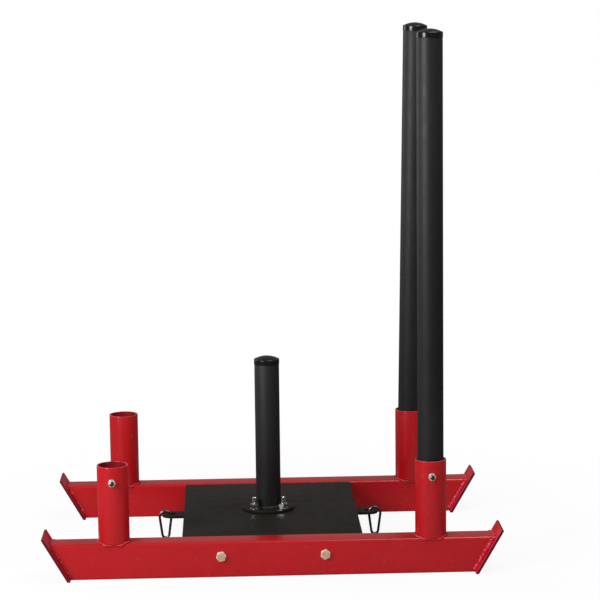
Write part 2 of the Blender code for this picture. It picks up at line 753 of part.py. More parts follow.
def build_hooks():
    lug = lug_mesh()
    lug_paint = black_paint("tow_lug_paint")
    path = HookPath()
    wire = wire_mesh("snap_hook", path.points())
    gate = gate_mesh()
    pin_half = WIRE_RADIUS + GAP
    pin_radius = GATE_PIN_DIAMETER / 2
    pin_profile = [(0, -pin_half), (pin_radius, -pin_half), (pin_radius, pin_half), (0, pin_half)]
    pin = turned("gate_pin", pin_profile, WIRE_SIDES)
    bore_radius = pin_radius + GAP
    bore_profile = [(0, -HOOK_WIRE), (bore_radius, -HOOK_WIRE), (bore_radius, HOOK_WIRE), (0, HOOK_WIRE)]
    bore = turned("pin_bore", bore_profile, WIRE_SIDES)
    hook_steel = bright_steel("snap_hook_steel")
    gate_steel = bright_steel("hook_gate_steel")
    pin_steel = bright_steel("gate_pin_steel")
    across = Matrix.Rotation(pi / 2, 4, "X")
    seat = WIRE_RADIUS + GATE_SWING_CLEARANCE
    slot = TONGUE_THICKNESS + 2 * GAP
    for name, end in ENDS.items():
        turn = Matrix.Rotation(0 if end > 0 else pi, 4, "Z")
        lug_seat = Matrix.Translation((0, 0, LUG_TOP - LUG_THICKNESS)) @ turn
        place(f"tow_lug_{name}", lug, lug_paint, lug_seat)

        pivot = axis_empty(f"hook_{name}_axis", turn @ Matrix.Translation((HOOK_PIVOT_X, 0, HOOK_PIVOT_Z)))
        hinge_frame = Matrix.Translation(path.hinge) @ Matrix.Rotation(-path.leg_lean, 4, "Y")
        hinge = axis_empty(f"gate_{name}_axis", hinge_frame, pivot)

        hook = place(f"hook_{name}", wire, hook_steel, Matrix(), pivot)
        cut_tongue(hook, f"hook_tongue_{name}", hinge_frame, pivot, -seat, seat)
        nose = GATE_LENGTH - NOSE_TONGUE - GATE_SWING_CLEARANCE
        cut_tongue(hook, f"nose_tongue_{name}", hinge_frame, pivot, nose, GATE_LENGTH)
        cut(hook, cutter(f"hook_bore_{name}", bore, hinge_frame @ across, pivot))

        item = place(f"hook_gate_{name}", gate, gate_steel, Matrix(), hinge)
        cut(item, slab(f"gate_low_slot_{name}", Matrix(), hinge, slot, -HOOK_WIRE, seat))
        cut(item, slab(f"gate_top_slot_{name}", Matrix(), hinge, slot, nose, GATE_LENGTH))
        cut(item, cutter(f"gate_bore_{name}", bore, across, hinge))

        place(f"gate_pin_{name}", pin, pin_steel, hinge_frame @ across, pivot)


def main():
    for item in list(bpy.data.objects):
        bpy.data.objects.remove(item, do_unlink=True)
    drills = side_bolt_drills()
    cap = cap_mesh()
    cap_plastic = black_plastic("tube_cap_plastic")
    build_runners(drills)
    build_sockets()
    build_poles(cap, cap_plastic)
    build_platform(drills)
    build_flange_bolts()
    build_post(cap, cap_plastic)
    build_side_bolts()
    build_hooks()


main()
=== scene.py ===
import json
from math import asin, ceil, cos, pi, radians, sin, sqrt, tan

import bmesh
import bpy
from bpy.props import FloatProperty, FloatVectorProperty, IntProperty, PointerProperty
from bpy.types import Operator, Panel, PropertyGroup
from mathutils import Matrix, Vector, noise


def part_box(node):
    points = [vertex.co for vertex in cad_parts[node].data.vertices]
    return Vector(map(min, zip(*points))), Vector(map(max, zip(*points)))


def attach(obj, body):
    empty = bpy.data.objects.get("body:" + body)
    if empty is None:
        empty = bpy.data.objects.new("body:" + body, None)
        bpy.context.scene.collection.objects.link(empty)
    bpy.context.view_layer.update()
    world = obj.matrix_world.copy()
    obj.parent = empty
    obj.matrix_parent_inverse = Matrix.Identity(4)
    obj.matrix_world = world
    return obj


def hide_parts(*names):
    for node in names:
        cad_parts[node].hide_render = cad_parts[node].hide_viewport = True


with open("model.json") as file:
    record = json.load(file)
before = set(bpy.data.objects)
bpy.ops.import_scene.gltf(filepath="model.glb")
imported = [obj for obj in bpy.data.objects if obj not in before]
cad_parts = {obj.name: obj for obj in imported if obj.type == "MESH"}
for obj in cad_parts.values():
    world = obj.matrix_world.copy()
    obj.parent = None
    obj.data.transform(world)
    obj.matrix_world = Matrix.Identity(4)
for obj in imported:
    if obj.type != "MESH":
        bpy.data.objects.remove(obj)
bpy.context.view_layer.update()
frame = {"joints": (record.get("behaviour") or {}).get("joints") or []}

bl_info = {
    "name": "Weight Sled",
    "version": (1, 0, 0),
    "blender": (4, 5, 0),
    "location": "View3D > Sidebar > Weight Sled",
    "description": "Models a push-pull weight sled round its packed frame",
    "category": "Add Mesh",
}

MM = 0.001
BODY = "sled"
SIDES = {"near": -1, "far": 1}
ENDS = {"left": -1, "right": 1}
CORNERS = [
    (f"{side_name}_{end_name}", end, side)
    for side_name, side in SIDES.items()
    for end_name, end in ENDS.items()
]
FLANGE_BOLTS = ("near_left", "near_right", "far")
JOINTS = {joint["name"]: joint for joint in frame["joints"]}
WELD_SEED = 1
QUARTER = pi / 2

# Cosine from which a direction counts as along an axis, angle from which an edge is beveled, and
# angle up to which faces are shaded as one
ALONG = 0.9
SHARP = radians(40)
SMOOTH = radians(35)

# Play of a piece in its hole, bite of a nut into its thread, reach of a cut past a face, and
# sides of small round forms
PLAY = 0.3 * MM
BITE = 0.2 * MM
PAST = 1 * MM
ROUND = 32


# Sizes and colours

def length(label, text, millimetres):
    """A length property with its default in millimetres."""
    return FloatProperty(name=label, description=text, default=millimetres * MM, unit="LENGTH")


def colour(label, text, shade):
    """A colour property."""
    return FloatVectorProperty(name=label, description=text, default=shade, subtype="COLOR", min=0, max=1)


def angle(label, text, degrees):
    """An angle property with its default in degrees."""
    return FloatProperty(name=label, description=text, default=radians(degrees), subtype="ANGLE")


def number(label, text, value):
    """A plain number."""
    return FloatProperty(name=label, description=text, default=value)


class SledSizes(PropertyGroup):
    """Sizes of walls, edges, threads and welds that the boxes of the frame's nodes don't give"""

    runner_wall: length("Runner wall", "Wall of the runner tubes", 3)
    runner_corner: length("Runner corner", "Outer corner radius of the runner tubes", 5)
    skid_thickness: length("Skid thickness", "Thickness of the skid plates", 5)
    skid_slope: angle("Skid slope", "Slope of the skid plates from the floor", 60)
    skid_edge: length("Skid edge", "Rounding of the skid plates' cut edges", 0.9)
    socket_wall: length("Socket wall", "Wall of the pole sockets", 3)
    tube_wall: length("Tube wall", "Wall of the poles and the post", 2.5)
    rim_edge: length("Rim edge", "Rounding of the tubes' sawn rims", 0.5)
    cap_overhang: length("Cap overhang", "How far a cap stands over its tube", 0.5)
    cap_rim: length("Cap rim", "Height of a cap's straight rim", 5)
    cap_sleeve: length("Cap sleeve", "How far a cap's rim reaches down over its tube", 3.5)
    cap_shoulder: length("Cap shoulder", "Radius between a cap's rim and its dome", 2.5)
    cap_stem: length("Cap stem", "Depth of a cap's or plug's stem inside its tube", 20)
    plug_rim: length("Plug rim", "Height of the rim of the plugs in the poles' feet", 3)
    platform_thickness: length("Platform thickness", "Thickness of the platform's plate", 8)
    skirt_thickness: length("Skirt thickness", "Thickness of the bars under the platform's side edges", 5)
    platform_edge: length("Platform edge", "Rounding of the platform's edges", 1)
    flange_edge: length("Flange edge", "Rounding of the flange's rim", 0.9)
    m10: length("M10", "Diameter of the side bolts and the flange bolts", 10)
    m8_pitch: length("M8 pitch", "Thread pitch of the lock screws", 1.25)
    m10_pitch: length("M10 pitch", "Thread pitch of the M10 bolts", 1.5)
    m8_flats: length("M8 flats", "Across the flats of the lock nuts", 13)
    m10_flats: length("M10 flats", "Across the flats of M10 heads and nuts", 17)
    key_flats: length("Key flats", "Across the flats of the lock screws' sockets", 4)
    key_depth: length("Key depth", "Depth of the lock screws' sockets", 4)
    lug_eye: length("Lug eye", "Diameter of the tow lugs' eyes", 16)
    lug_edge: length("Lug edge", "Rounding of the tow lugs' edges", 0.8)
    wire: length("Hook wire", "Diameter of the snap hooks' wire", 5)
    hook_narrow: length("Hook end radius", "Centre line radius of the hooks' narrow end", 7)
    hook_wide: length("Hook top radius", "Centre line radius of the hooks' wide end", 11.796)
    hook_nose: length("Hook nose", "From the gate's hinge to the end of the hook's nose", 18.5)
    gate_length: length("Gate length", "Gate from its hinge to its end", 22.5)
    tongue: length("Tongue", "Thickness of the wire where the gate's forks grip it", 2)
    pin: length("Gate pin", "Diameter of the gates' pins", 2)
    socket_weld: length("Socket weld", "Radius of the weld beads round the sockets", 2.6)
    skid_weld: length("Skid weld", "Radius of the weld beads at the skid plates", 6.2)
    post_weld: length("Post weld", "Radius of the weld bead at the post's foot", 3)
    lug_weld: length("Lug weld", "Radius of the weld beads along the tow lugs", 2.6)
    ripple: length("Weld ripple", "Spacing of the ripples in a weld bead", 3.2)
    tube_sides: IntProperty(name="Tube sides", description="Sides of the round tubes", default=96, min=24)


class SledColours(PropertyGroup):
    """Colours of the finishes"""

    red: colour("Red paint", "Powder coat of the runners and the sockets", (0.44, 0.005, 0.009))
    red_deep: colour("Deep red", "Darker patches of the red powder coat", (0.42, 0.0045, 0.008))
    edge: colour("Cut edge", "Powder coat on the skid plates' sawn edges", (0.13, 0.009, 0.02))
    # Partly painted light: a lighter crimson than the runners' red, for the light on the skid plates' inner
    # faces
    skid: colour("Skid plates", "Thicker powder coat on the skid plates", (0.54, 0.012, 0.035))
    # Painted shade: a darker red that stands for the shade inside the pole sockets
    bore: colour("Bore", "Thin powder coat inside the pole sockets", (0.26, 0.005, 0.008))
    # Painted highlight: a lighter pink for the line of light along the sockets' rims
    rim: colour("Rim", "Powder coat rubbed shiny on the sockets' rims", (0.66, 0.10, 0.11))
    # Painted light: a lighter red for the skid welds at the right ends, which catch the light
    weld: colour("Weld", "Powder coat where it lies thick on the weld beads", (0.60, 0.022, 0.07))
    black: colour("Black paint", "Satin powder coat of the poles and the post", (0.012, 0.012, 0.012))
    black_warm: colour("Plate black", "Powder coat of platform, flange and lugs", (0.016, 0.0138, 0.0105))
    plastic: colour("Plastic", "Gloss plastic of the caps and plugs", (0.005, 0.005, 0.005))
    zinc: colour("Zinc", "Yellowish plating of the side bolts", (0.86, 0.62, 0.43))
    zinc_dull: colour("Dull zinc", "Dull patches of that plating", (0.64, 0.46, 0.31))
    steel: colour("Steel", "Bright plating of the flange's hardware", (0.92, 0.92, 0.92))
    steel_dull: colour("Dull steel", "Dull patches of the bright plating", (0.62, 0.61, 0.59))
    # Painted highlight: a pale zinc for the ring of light on the side bolt heads' ends; also the pale
    # plating of the lock nuts
    worn: colour("Worn zinc", "Rims of bolt heads that the wrench has rubbed", (1.0, 0.75, 0.67))
    # Painted reflection: the snap hooks' bright steel made dark for the dark surroundings it mirrors; on
    # the lock screws this is their own black oxide
    hook: colour("Hook steel", "Dark plating of the snap hooks and lock screws", (0.2, 0.2, 0.2))
    floor: colour("Floor", "Floor and backdrop", (0.86, 0.86, 0.86))


class StudioSettings(PropertyGroup):
    """Camera and lights"""

    camera_place: FloatVectorProperty(
        name="Camera",
        description="Where the camera stands",
        default=(-0.0799, -4.2983, 1.1488),
        subtype="TRANSLATION",
        unit="LENGTH",
    )
    camera_pitch: angle("Pitch", "How far the camera looks down", 8.633)
    camera_yaw: angle("Yaw", "How far the camera is turned towards +X", 1.942)
    camera_roll: angle("Roll", "Turn of the camera about its own axis", -0.674)
    lens: number("Lens", "Focal length in millimetres", 130.0)
    key_power: number("Key light", "Power of the soft light at the left", 57.0)
    top_power: number("Top light", "Power of the soft light above", 24.0)
    side_power: number("Side light", "Power of the soft light at the left end", 14.0)
    mirrored: number("Mirrored", "Strength of the background in reflections", 0.2)
    ambient: number("Ambient", "Strength of the surrounding light", 0.25)


# Selecting, placing and small steps by hand

def deselect():
    """Nothing selected, in object mode."""
    if bpy.context.object and bpy.context.object.mode != "OBJECT":
        bpy.ops.object.mode_set(mode="OBJECT")
    bpy.ops.object.select_all(action="DESELECT")


def activate(piece):
    """Only this piece selected and active, in object mode."""
    deselect()
    piece.select_set(True)
    bpy.context.view_layer.objects.active = piece


def edit(piece, action="DESELECT"):
    """The piece in edit mode, with nothing selected, or all of it."""
    activate(piece)
    bpy.ops.object.mode_set(mode="EDIT")
    bpy.ops.mesh.select_all(action=action)


def done():
    """Back to object mode."""
    bpy.ops.object.mode_set(mode="OBJECT")


def pick(piece, kind, test):
    """Select the faces or edges that pass a test, in edit mode."""
    bpy.ops.mesh.select_mode(type=kind)
    mesh = bmesh.from_edit_mesh(piece.data)
    mesh.normal_update()
    for part in mesh.faces if kind == "FACE" else mesh.edges:
        part.select_set(bool(test(part)))
    bmesh.update_edit_mesh(piece.data)


def direction(edge):
    """Unit vector along an edge."""
    return (edge.verts[1].co - edge.verts[0].co).normalized()


def sharp(edge):
    """Whether two faces meet at a sharp angle at an edge."""
    return len(edge.link_faces) == 2 and edge.calc_face_angle(0) > SHARP


def soften(piece, width, segments, test=sharp):
    """Bevel the edges that pass a test."""
    edit(piece)
    pick(piece, "EDGE", test)
    bpy.ops.mesh.bevel(offset=width, segments=segments, affect="EDGES", clamp_overlap=True)
    done()


def close_up(piece):
    """Merge doubled points and turn the faces outwards."""
    edit(piece, "SELECT")
    bpy.ops.mesh.remove_doubles(threshold=0.001 * MM)
    bpy.ops.mesh.normals_make_consistent(inside=False)
    done()
    return piece


def combine(piece, other, operation="DIFFERENCE"):
    """Apply a Boolean, by default a cut, with another piece, which is used up."""
    modifier = piece.modifiers.new("combine", "BOOLEAN")
    modifier.operation = operation
    modifier.solver = "EXACT"
    modifier.object = other
    activate(piece)
    bpy.ops.object.modifier_apply(modifier=modifier.name)
    discard(other)


def saw(piece, place, beyond):
    """Saw a piece off at a plane, on the side that its normal points to, and close the cut."""
    edit(piece, "SELECT")
    bpy.ops.mesh.bisect(plane_co=place, plane_no=beyond, use_fill=True, clear_outer=True)
    done()


def settle(piece):
    """Move a piece's place into its mesh."""
    activate(piece)
    bpy.ops.object.transform_apply(location=True, rotation=True, scale=True)
    return piece


def join(parts):
    """Join parts into the first one."""
    activate(parts[0])
    for part in parts:
        part.select_set(True)
    bpy.ops.object.join()
    return parts[0]


def copy_to(model, matrix):
    """A copy of a model with its own mesh, placed by a matrix."""
    piece = model.copy()
    piece.data = model.data.copy()
    bpy.context.scene.collection.objects.link(piece)
    return put(piece, matrix)


def put(piece, matrix):
    """Place a piece's mesh by a matrix."""
    piece.data.transform(matrix)
    return piece


def discard(*models):
    """Remove models that are used up."""
    for model in models:
        bpy.data.objects.remove(model, do_unlink=True)


def at(x=0.0, y=0.0, z=0.0):
    """A shift."""
    return Matrix.Translation((x, y, z))


def about(axis, turn):
    """A turn about an axis through the origin."""
    return Matrix.Rotation(turn, 4, axis)


def outward(side):
    """Turn that points +Z away from the sled on a side."""
    return about("X", -side * QUARTER)


def facing(end):
    """Turn that points +X away from the sled at an end."""
    return about("Z", 0 if end > 0 else pi)


def middle_of(node):
    """The middle of a node's box."""
    low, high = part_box(node)
    return (low + high) / 2


def size_of(node):
    """The lengths of a node's box along X, Y and Z."""
    low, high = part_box(node)
    return high - low


def on_inner_face(node, side):
    """Place of a piece that stands on its node's inner face and points outwards."""
    low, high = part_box(node)
    middle = middle_of(node)
    return at(middle.x, low.y if side > 0 else high.y, middle.z) @ outward(side)


def dress(piece, name, body, material, slot, *nodes):
    """Smooth, name and paint a piece, set it on its body and let it stand for its nodes."""
    settle(piece)
    bpy.ops.object.shade_smooth_by_angle(angle=SMOOTH)
    piece.name = name
    piece.data.name = name
    piece.data.materials.clear()
    piece.data.materials.append(material)
    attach(piece, body)
    if nodes:
        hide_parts(*nodes)
    return piece


def paint_part(piece, material, test):
    """Give the faces that pass a test another material."""
    piece.data.materials.append(material)
    index = len(piece.data.materials) - 1
    for face in piece.data.polygons:
        if test(face):
            face.material_index = index


# Basic forms

def block(low, high):
    """A box between two corners."""
    deselect()
    low, high = Vector(low), Vector(high)
    middle = (low + high) / 2
    bpy.ops.mesh.primitive_cube_add(size=1, location=middle)
    piece = bpy.context.object
    bpy.ops.object.mode_set(mode="EDIT")
    bpy.ops.transform.resize(value=tuple(high - low), center_override=tuple(middle))
    done()
    return settle(piece)


def rod(radius, low, high, sides=ROUND, turn=0.0):
    """A cylinder about Z between two heights, with its first corner turned from +Y."""
    deselect()
    middle = (0, 0, (low + high) / 2)
    bpy.ops.mesh.primitive_cylinder_add(
        vertices=sides, radius=radius, depth=high - low, location=middle, rotation=(0, 0, turn)
    )
    return settle(bpy.context.object)


def lathe(profile, sides):
    """A round solid about Z, raised ring by ring through (radius, height) points."""
    deselect()
    radius, height = profile[0]
    foot = (0, 0, height)
    bpy.ops.mesh.primitive_circle_add(vertices=sides, radius=radius, fill_type="NGON", location=foot)
    piece = settle(bpy.context.object)
    edit(piece)
    bpy.ops.mesh.select_mode(type="FACE")
    bpy.ops.mesh.select_all(action="SELECT")
    for next_radius, next_height in profile[1:]:
        rise = (0, 0, next_height - height)
        bpy.ops.mesh.extrude_region_move(TRANSFORM_OT_translate={"value": rise})
        if next_radius == 0:
            bpy.ops.mesh.merge(type="CENTER")
            break
        share = next_radius / radius
        bpy.ops.transform.resize(value=(share, share, 1), center_override=(0, 0, next_height))
        radius, height = next_radius, next_height
    done()
    return close_up(piece)


def tube(outer, wall, low, high, sides, edge):
    """A round tube about Z with softened rims."""
    piece = rod(outer, low, high, sides)
    edit(piece)
    pick(piece, "FACE", lambda face: abs(face.normal.z) > ALONG)
    bpy.ops.mesh.inset(thickness=wall, use_individual=True)
    bpy.ops.mesh.bridge_edge_loops()
    pick(piece, "EDGE", lambda rim: abs(direction(rim).z) < 1 - ALONG and sharp(rim))
    bpy.ops.mesh.bevel(offset=edge, segments=3, affect="EDGES")
    done()
    return close_up(piece)


def hexagon(flats, low, high, chamfer_low=True, chamfer_high=True):
    """A hexagon about Z with its corners on +X and -X, its corner tips turned off at its ends."""
    corner = flats / sqrt(3)
    piece = rod(corner, low, high, 6, turn=pi / 6)
    # It is cut down to a turned form, which is a little narrower than the flats at an end, clears
    # the corners further in and slopes at about 30 degrees between; the form is turned a little
    # so that its points miss the corners
    inner = flats / 2 * 0.97
    outer = corner * 1.02
    drop = (corner - inner) * tan(radians(30)) * 1.15
    spare = 0.5 * MM
    tip = inner - spare * (outer - inner) / drop
    profile = [(tip, low - spare), (outer, low + drop)] if chamfer_low else [(outer, low - spare)]
    profile += [(outer, high - drop), (tip, high + spare)] if chamfer_high else [(outer, high + spare)]
    turned = put(lathe(profile, 2 * ROUND), about("Z", radians(1.5)))
    combine(piece, turned, "INTERSECT")
    return close_up(piece)


def nut_model(flats, low, high, thread_radius):
    """A hexagon nut between two heights, bored for its thread."""
    nut = hexagon(flats, low, high)
    combine(nut, rod(thread_radius - BITE, low - PAST, high + PAST))
    return nut


def thread(radius, pitch, low, high):
    """A threaded shank about Z: a core with a helical ridge, its lower end bevelled."""
    depth = 0.55 * pitch
    core = radius - depth
    piece = lathe([(core - depth, low), (core, low + depth), (core, high)], ROUND)
    # The ridge is a triangle, one corner outwards, that the helix carries up the core
    ridge_radius = depth * 1.25
    deselect()
    bpy.ops.mesh.primitive_circle_add(vertices=3, radius=ridge_radius, fill_type="NOTHING")
    ridge = put(bpy.context.object, about("X", QUARTER) @ about("Z", -QUARTER))
    put(ridge, at(radius - ridge_radius, 0, low + depth))
    helix = ridge.modifiers.new("helix", "SCREW")
    helix.axis = "Z"
    helix.angle = 2 * pi
    helix.screw_offset = pitch
    helix.iterations = max(int((high - low - 2 * depth) / pitch), 1)
    helix.steps = 24
    helix.render_steps = helix.steps
    activate(ridge)
    bpy.ops.object.modifier_apply(modifier=helix.name)
    edit(ridge)
    bpy.ops.mesh.select_mode(type="EDGE")
    bpy.ops.mesh.select_non_manifold()
    bpy.ops.mesh.fill_holes(sides=3)
    done()
    close_up(ridge)
    return join([piece, ridge])


# Finishes

def feed(tree, socket, value):
    """Link another node's output to a socket, or set the socket's own value."""
    if isinstance(value, bpy.types.NodeSocket):
        tree.links.new(value, socket)
    else:
        socket.default_value = value


def add(tree, kind, inputs, **settings):
    """A shader node with its settings, and with its inputs fed."""
    node = tree.nodes.new(kind)
    for name, value in settings.items():
        setattr(node, name, value)
    for name, value in inputs.items():
        feed(tree, node.inputs[name], value)
    return node


def new_material(name):
    """A material with its node tree, its shader and its object coordinates."""
    material = bpy.data.materials.new(name)
    material.use_nodes = True
    tree = material.node_tree
    coords = add(tree, "ShaderNodeTexCoord", {}).outputs["Object"]
    return material, tree, tree.nodes["Principled BSDF"], coords


def grain(tree, coords, scale, detail, stretch=(1, 1, 1)):
    """A noise value over the surface; scale is in features per metre."""
    mapping = add(tree, "ShaderNodeMapping", {"Scale": stretch, "Vector": coords})
    inputs = {"Scale": scale, "Detail": detail, "Vector": mapping.outputs["Vector"]}
    return add(tree, "ShaderNodeTexNoise", inputs).outputs["Fac"]


def shades(tree, value, first, second):
    """A colour between two shades."""
    ramp = add(tree, "ShaderNodeValToRGB", {"Fac": value})
    stops = ((0.35, first), (0.65, second))
    for element, (position, shade) in zip(ramp.color_ramp.elements, stops):
        element.position = position
        element.color = (*shade, 1)
    return ramp.outputs["Color"]


def between(tree, value, low, high, start=0.3, stop=0.7, **settings):
    """A number that goes from low to high while a value goes from start to stop."""
    inputs = {"From Min": start, "From Max": stop, "To Min": low, "To Max": high, "Value": value}
    return add(tree, "ShaderNodeMapRange", inputs, **settings).outputs["Result"]


def relief(tree, shader, *layers):
    """Bumps from (value, strength, height) layers, one over the other."""
    below = {}
    for value, strength, height in layers:
        inputs = {"Strength": strength, "Distance": height, "Height": value, **below}
        below = {"Normal": add(tree, "ShaderNodeBump", inputs).outputs["Normal"]}
    feed(tree, shader.inputs["Normal"], below["Normal"])


def painted(name, deep, light, rough, specular, peel, scale=9):
    """Powder coat: changes of shade at a scale, uneven gloss and a fine orange peel."""
    if name in bpy.data.materials:
        return bpy.data.materials[name]
    material, tree, shader, coords = new_material(name)
    clouds = grain(tree, coords, scale, detail=4)
    feed(tree, shader.inputs["Base Color"], shades(tree, clouds, deep, light))
    patches = grain(tree, coords, scale=45, detail=3)
    feed(tree, shader.inputs["Roughness"], between(tree, patches, *rough))
    shader.inputs["Specular IOR Level"].default_value = specular
    bumps = grain(tree, coords, scale=420, detail=1)
    dust = grain(tree, coords, scale=1500, detail=1)
    relief(tree, shader, (bumps, peel, 0.2 * MM), (dust, peel * 0.4, 0.04 * MM))
    return material


def plated(name, dull, bright, rough, metallic=1.0):
    """Plated steel: fine streaks along Z and duller patches, which are the rougher ones."""
    if name in bpy.data.materials:
        return bpy.data.materials[name]
    material, tree, shader, coords = new_material(name)
    patches = grain(tree, coords, scale=260, detail=4)
    feed(tree, shader.inputs["Base Color"], shades(tree, patches, dull, bright))
    shader.inputs["Metallic"].default_value = metallic
    feed(tree, shader.inputs["Roughness"], between(tree, patches, *rough))
    streaks = grain(tree, coords, scale=900, detail=2, stretch=(1, 1, 0.15))
    relief(tree, shader, (streaks, 0.25, 0.05 * MM))
    return material


def tints():
    """The colours that are set on the scene."""
    return bpy.context.scene.sled_colours


def shaded(tint, share):
    """A colour with its channels scaled."""
    return [channel * share for channel in tint]


def red_paint():
    shade = tints()
    return painted("powder_coat_red", shade.red_deep, shade.red, (0.22, 0.28), specular=0.5, peel=0.01)


def edge_paint():
    edge = tints().edge
    return painted("powder_coat_cut_edge", shaded(edge, 0.6), edge, (0.3, 0.45), specular=0.15, peel=0.1)


# The skid plates' red made lighter, partly painted light
def lit_skid_paint():
    shade, rough = tints(), (0.26, 0.34)
    return painted("powder_coat_lit_skid", shade.red, shade.skid, rough, specular=0.3, peel=0.01, scale=60)


# Painted shade for the sockets' inner walls
def bore_shade_paint():
    shade, rough = tints(), (0.4, 0.55)
    return painted("powder_coat_bore_shade", shade.edge, shade.bore, rough, specular=0.1, peel=0.05, scale=30)


# Painted highlight on the sockets' rims
def rim_highlight_paint():
    shade = tints()
    return painted("powder_coat_rim_highlight", shade.red, shade.rim, (0.16, 0.24), specular=0.6, peel=0.02)


# A lit copy of the red, painted light on the welds that face the lamps
def lit_weld_paint():
    deep, light, rough = tints().red_deep, tints().weld, (0.2, 0.34)
    return painted("powder_coat_lit_weld", deep, light, rough, specular=0.45, peel=0.03, scale=260)


def tube_paint():
    black = tints().black
    return painted("satin_black_tube", shaded(black, 0.7), black, (0.5, 0.58), specular=0.42, peel=0.04)


def plate_paint():
    black, rough = tints().black_warm, (0.46, 0.56)
    return painted("semi_gloss_black_plate", shaded(black, 0.75), black, rough, specular=0.12, peel=0.02)


def cap_plastic():
    black = tints().plastic
    return painted("gloss_black_cap", black, shaded(black, 1.6), (0.16, 0.22), specular=0.35, peel=0.02)


# Dark for the hooks as a painted reflection, the lock screws' own black oxide
def dark_reflection_and_oxide_steel():
    hook = tints().hook
    return plated("dark_reflection_and_oxide_steel", shaded(hook, 0.6), hook, (0.34, 0.24))


def yellow_zinc():
    shade = tints()
    return plated("yellow_zinc", shade.zinc_dull, shade.zinc, (0.5, 0.34), metallic=0.5)


# Painted highlight on the side bolt heads' rims
def zinc_rim_highlight():
    shade = tints()
    return plated("zinc_rim_highlight", shade.worn, shade.worn, (0.42, 0.3), metallic=0.2)


def bright_zinc():
    shade = tints()
    return plated("bright_zinc", shade.steel_dull, shade.steel, (0.28, 0.14))


def pale_zinc():
    shade = tints()
    return plated("pale_zinc", shade.steel_dull, shade.worn, (0.35, 0.2), metallic=0.5)


# Weld beads

def bead(line, radius, ripple, seed, closed=False):
    """A rippled weld bead along a line, its thickness and line wandering a little."""
    deselect()
    bpy.ops.curve.primitive_bezier_circle_add()
    carrier = bpy.context.object
    carrier.data.splines.clear()
    spline = carrier.data.splines.new("POLY")
    spline.points.add(len(line) - 1)
    # Shares of the radius by which the bead wanders and swells, each with its changes per metre
    wander, wander_rate = 0.2 * radius, 90
    swell, swell_rate = 0.3, 140
    for point, place in zip(spline.points, line):
        drift = noise.noise_vector(place * wander_rate + Vector((seed, 0, 0)))
        point.co = (*(place + drift * wander), 1)
        point.radius = 1 + swell * noise.noise(place * swell_rate + Vector((0, seed, 0)))
    # Each ripple rises from a trough, and their spacing is uneven
    trough, rise = 0.86, 0.22
    uneven, uneven_rate = 0.9, 70
    run = 0.0
    for index, point in enumerate(spline.points):
        if index:
            run += (point.co.xyz - spline.points[index - 1].co.xyz).length
        shift = uneven * noise.noise(point.co.xyz * uneven_rate + Vector((0, 0, seed)))
        point.radius *= trough + rise * abs(sin(pi * (run / ripple + shift)))
    spline.use_cyclic_u = closed
    carrier.data.dimensions = "3D"
    carrier.data.bevel_depth = radius
    carrier.data.bevel_resolution = 4
    carrier.data.use_fill_caps = True
    activate(carrier)
    bpy.ops.object.convert(target="MESH")
    return close_up(bpy.context.object)


def ring(middle, reach, height, count):
    """Points round a circle at a height."""
    turns = [2 * pi * step / count for step in range(count)]
    return [Vector((middle.x + reach * cos(turn), middle.y + reach * sin(turn), height)) for turn in turns]


def fine_line(points, spacing):
    """Points at an even spacing along a line."""
    stops = [Vector(point) for point in points]
    line = []
    for first, second in zip(stops, stops[1:]):
        steps = max(ceil((second - first).length / spacing), 1)
        line += [first.lerp(second, step / steps) for step in range(steps)]
    return line + stops[-1:]


# Operators for the sled's pieces

class SLED_OT_runners(Operator):
    """Model both runners: rectangular tube with rounded corners and sloping ends"""

    bl_idname = "sled.runners"
    bl_label = "Runners"

    def execute(self, context):
        sizes = context.scene.sled_sizes
        for side_name in SIDES:
            node = f"runner_{side_name}"
            low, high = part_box(node)
            piece = block(low, high)
            soften(piece, sizes.runner_corner, 6, lambda edge: abs(direction(edge).x) > ALONG)
            for end in ENDS.values():
                beyond = (end * sin(sizes.skid_slope), 0, -cos(sizes.skid_slope))
                saw(piece, (end * high.x, 0, high.z), beyond)
            edit(piece)
            pick(piece, "FACE", lambda face: abs(face.normal.x) > 0.5)
            bpy.ops.mesh.inset(thickness=sizes.runner_wall, use_individual=True)
            bpy.ops.mesh.bridge_edge_loops()
            done()
            close_up(piece)
            for end_name in ENDS:
                drill_side_bolt(piece, f"{side_name}_{end_name}")
            dress(piece, f"{side_name}_runner_tube", BODY, red_paint(), "red_paint", node)
        return {"FINISHED"}


def drill_side_bolt(piece, corner):
    """Cut the hole of a side bolt, a share of its head's height, which is its node's height."""
    node = f"side_bolt_{corner}"
    low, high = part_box(node)
    hole_share = 0.56
    hole = rod(size_of(node).z / 2 * hole_share, low.y - PAST, high.y + PAST)
    middle = middle_of(node)
    combine(piece, put(hole, at(middle.x, 0, middle.z) @ about("X", -QUARTER)))


class SLED_OT_skid_plates(Operator):
    """Model the four skid plates: flat bar, sawn square at the top and level at the floor"""

    bl_idname = "sled.skid_plates"
    bl_label = "Skid plates"

    def execute(self, context):
        sizes = context.scene.sled_sizes
        thickness, slope = sizes.skid_thickness, sizes.skid_slope
        for corner, end, _ in CORNERS:
            node = f"skid_plate_{corner}"
            low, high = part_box(node)
            foot = min(abs(low.x), abs(high.x)) + thickness / sin(slope)
            long = (high.z - thickness * cos(slope)) / sin(slope)
            piece = block((-thickness, low.y, -thickness), (0, high.y, long))
            middle_y = (low.y + high.y) / 2
            lean = at(x=foot) @ about("Y", QUARTER - slope)
            put(piece, at(y=middle_y) @ facing(end) @ lean @ at(y=-middle_y))
            saw(piece, (0, 0, 0), (0, 0, -1))
            soften(piece, sizes.skid_edge, 3)
            dress(piece, f"{corner}_skid", BODY, lit_skid_paint(), "red_paint", node)
            up = Vector((end * cos(slope), 0, sin(slope)))
            paint_part(piece, edge_paint(), lambda face: (
                abs(face.normal.y) > 0.5 or face.normal.dot(up) > 0.8
            ))
        return {"FINISHED"}


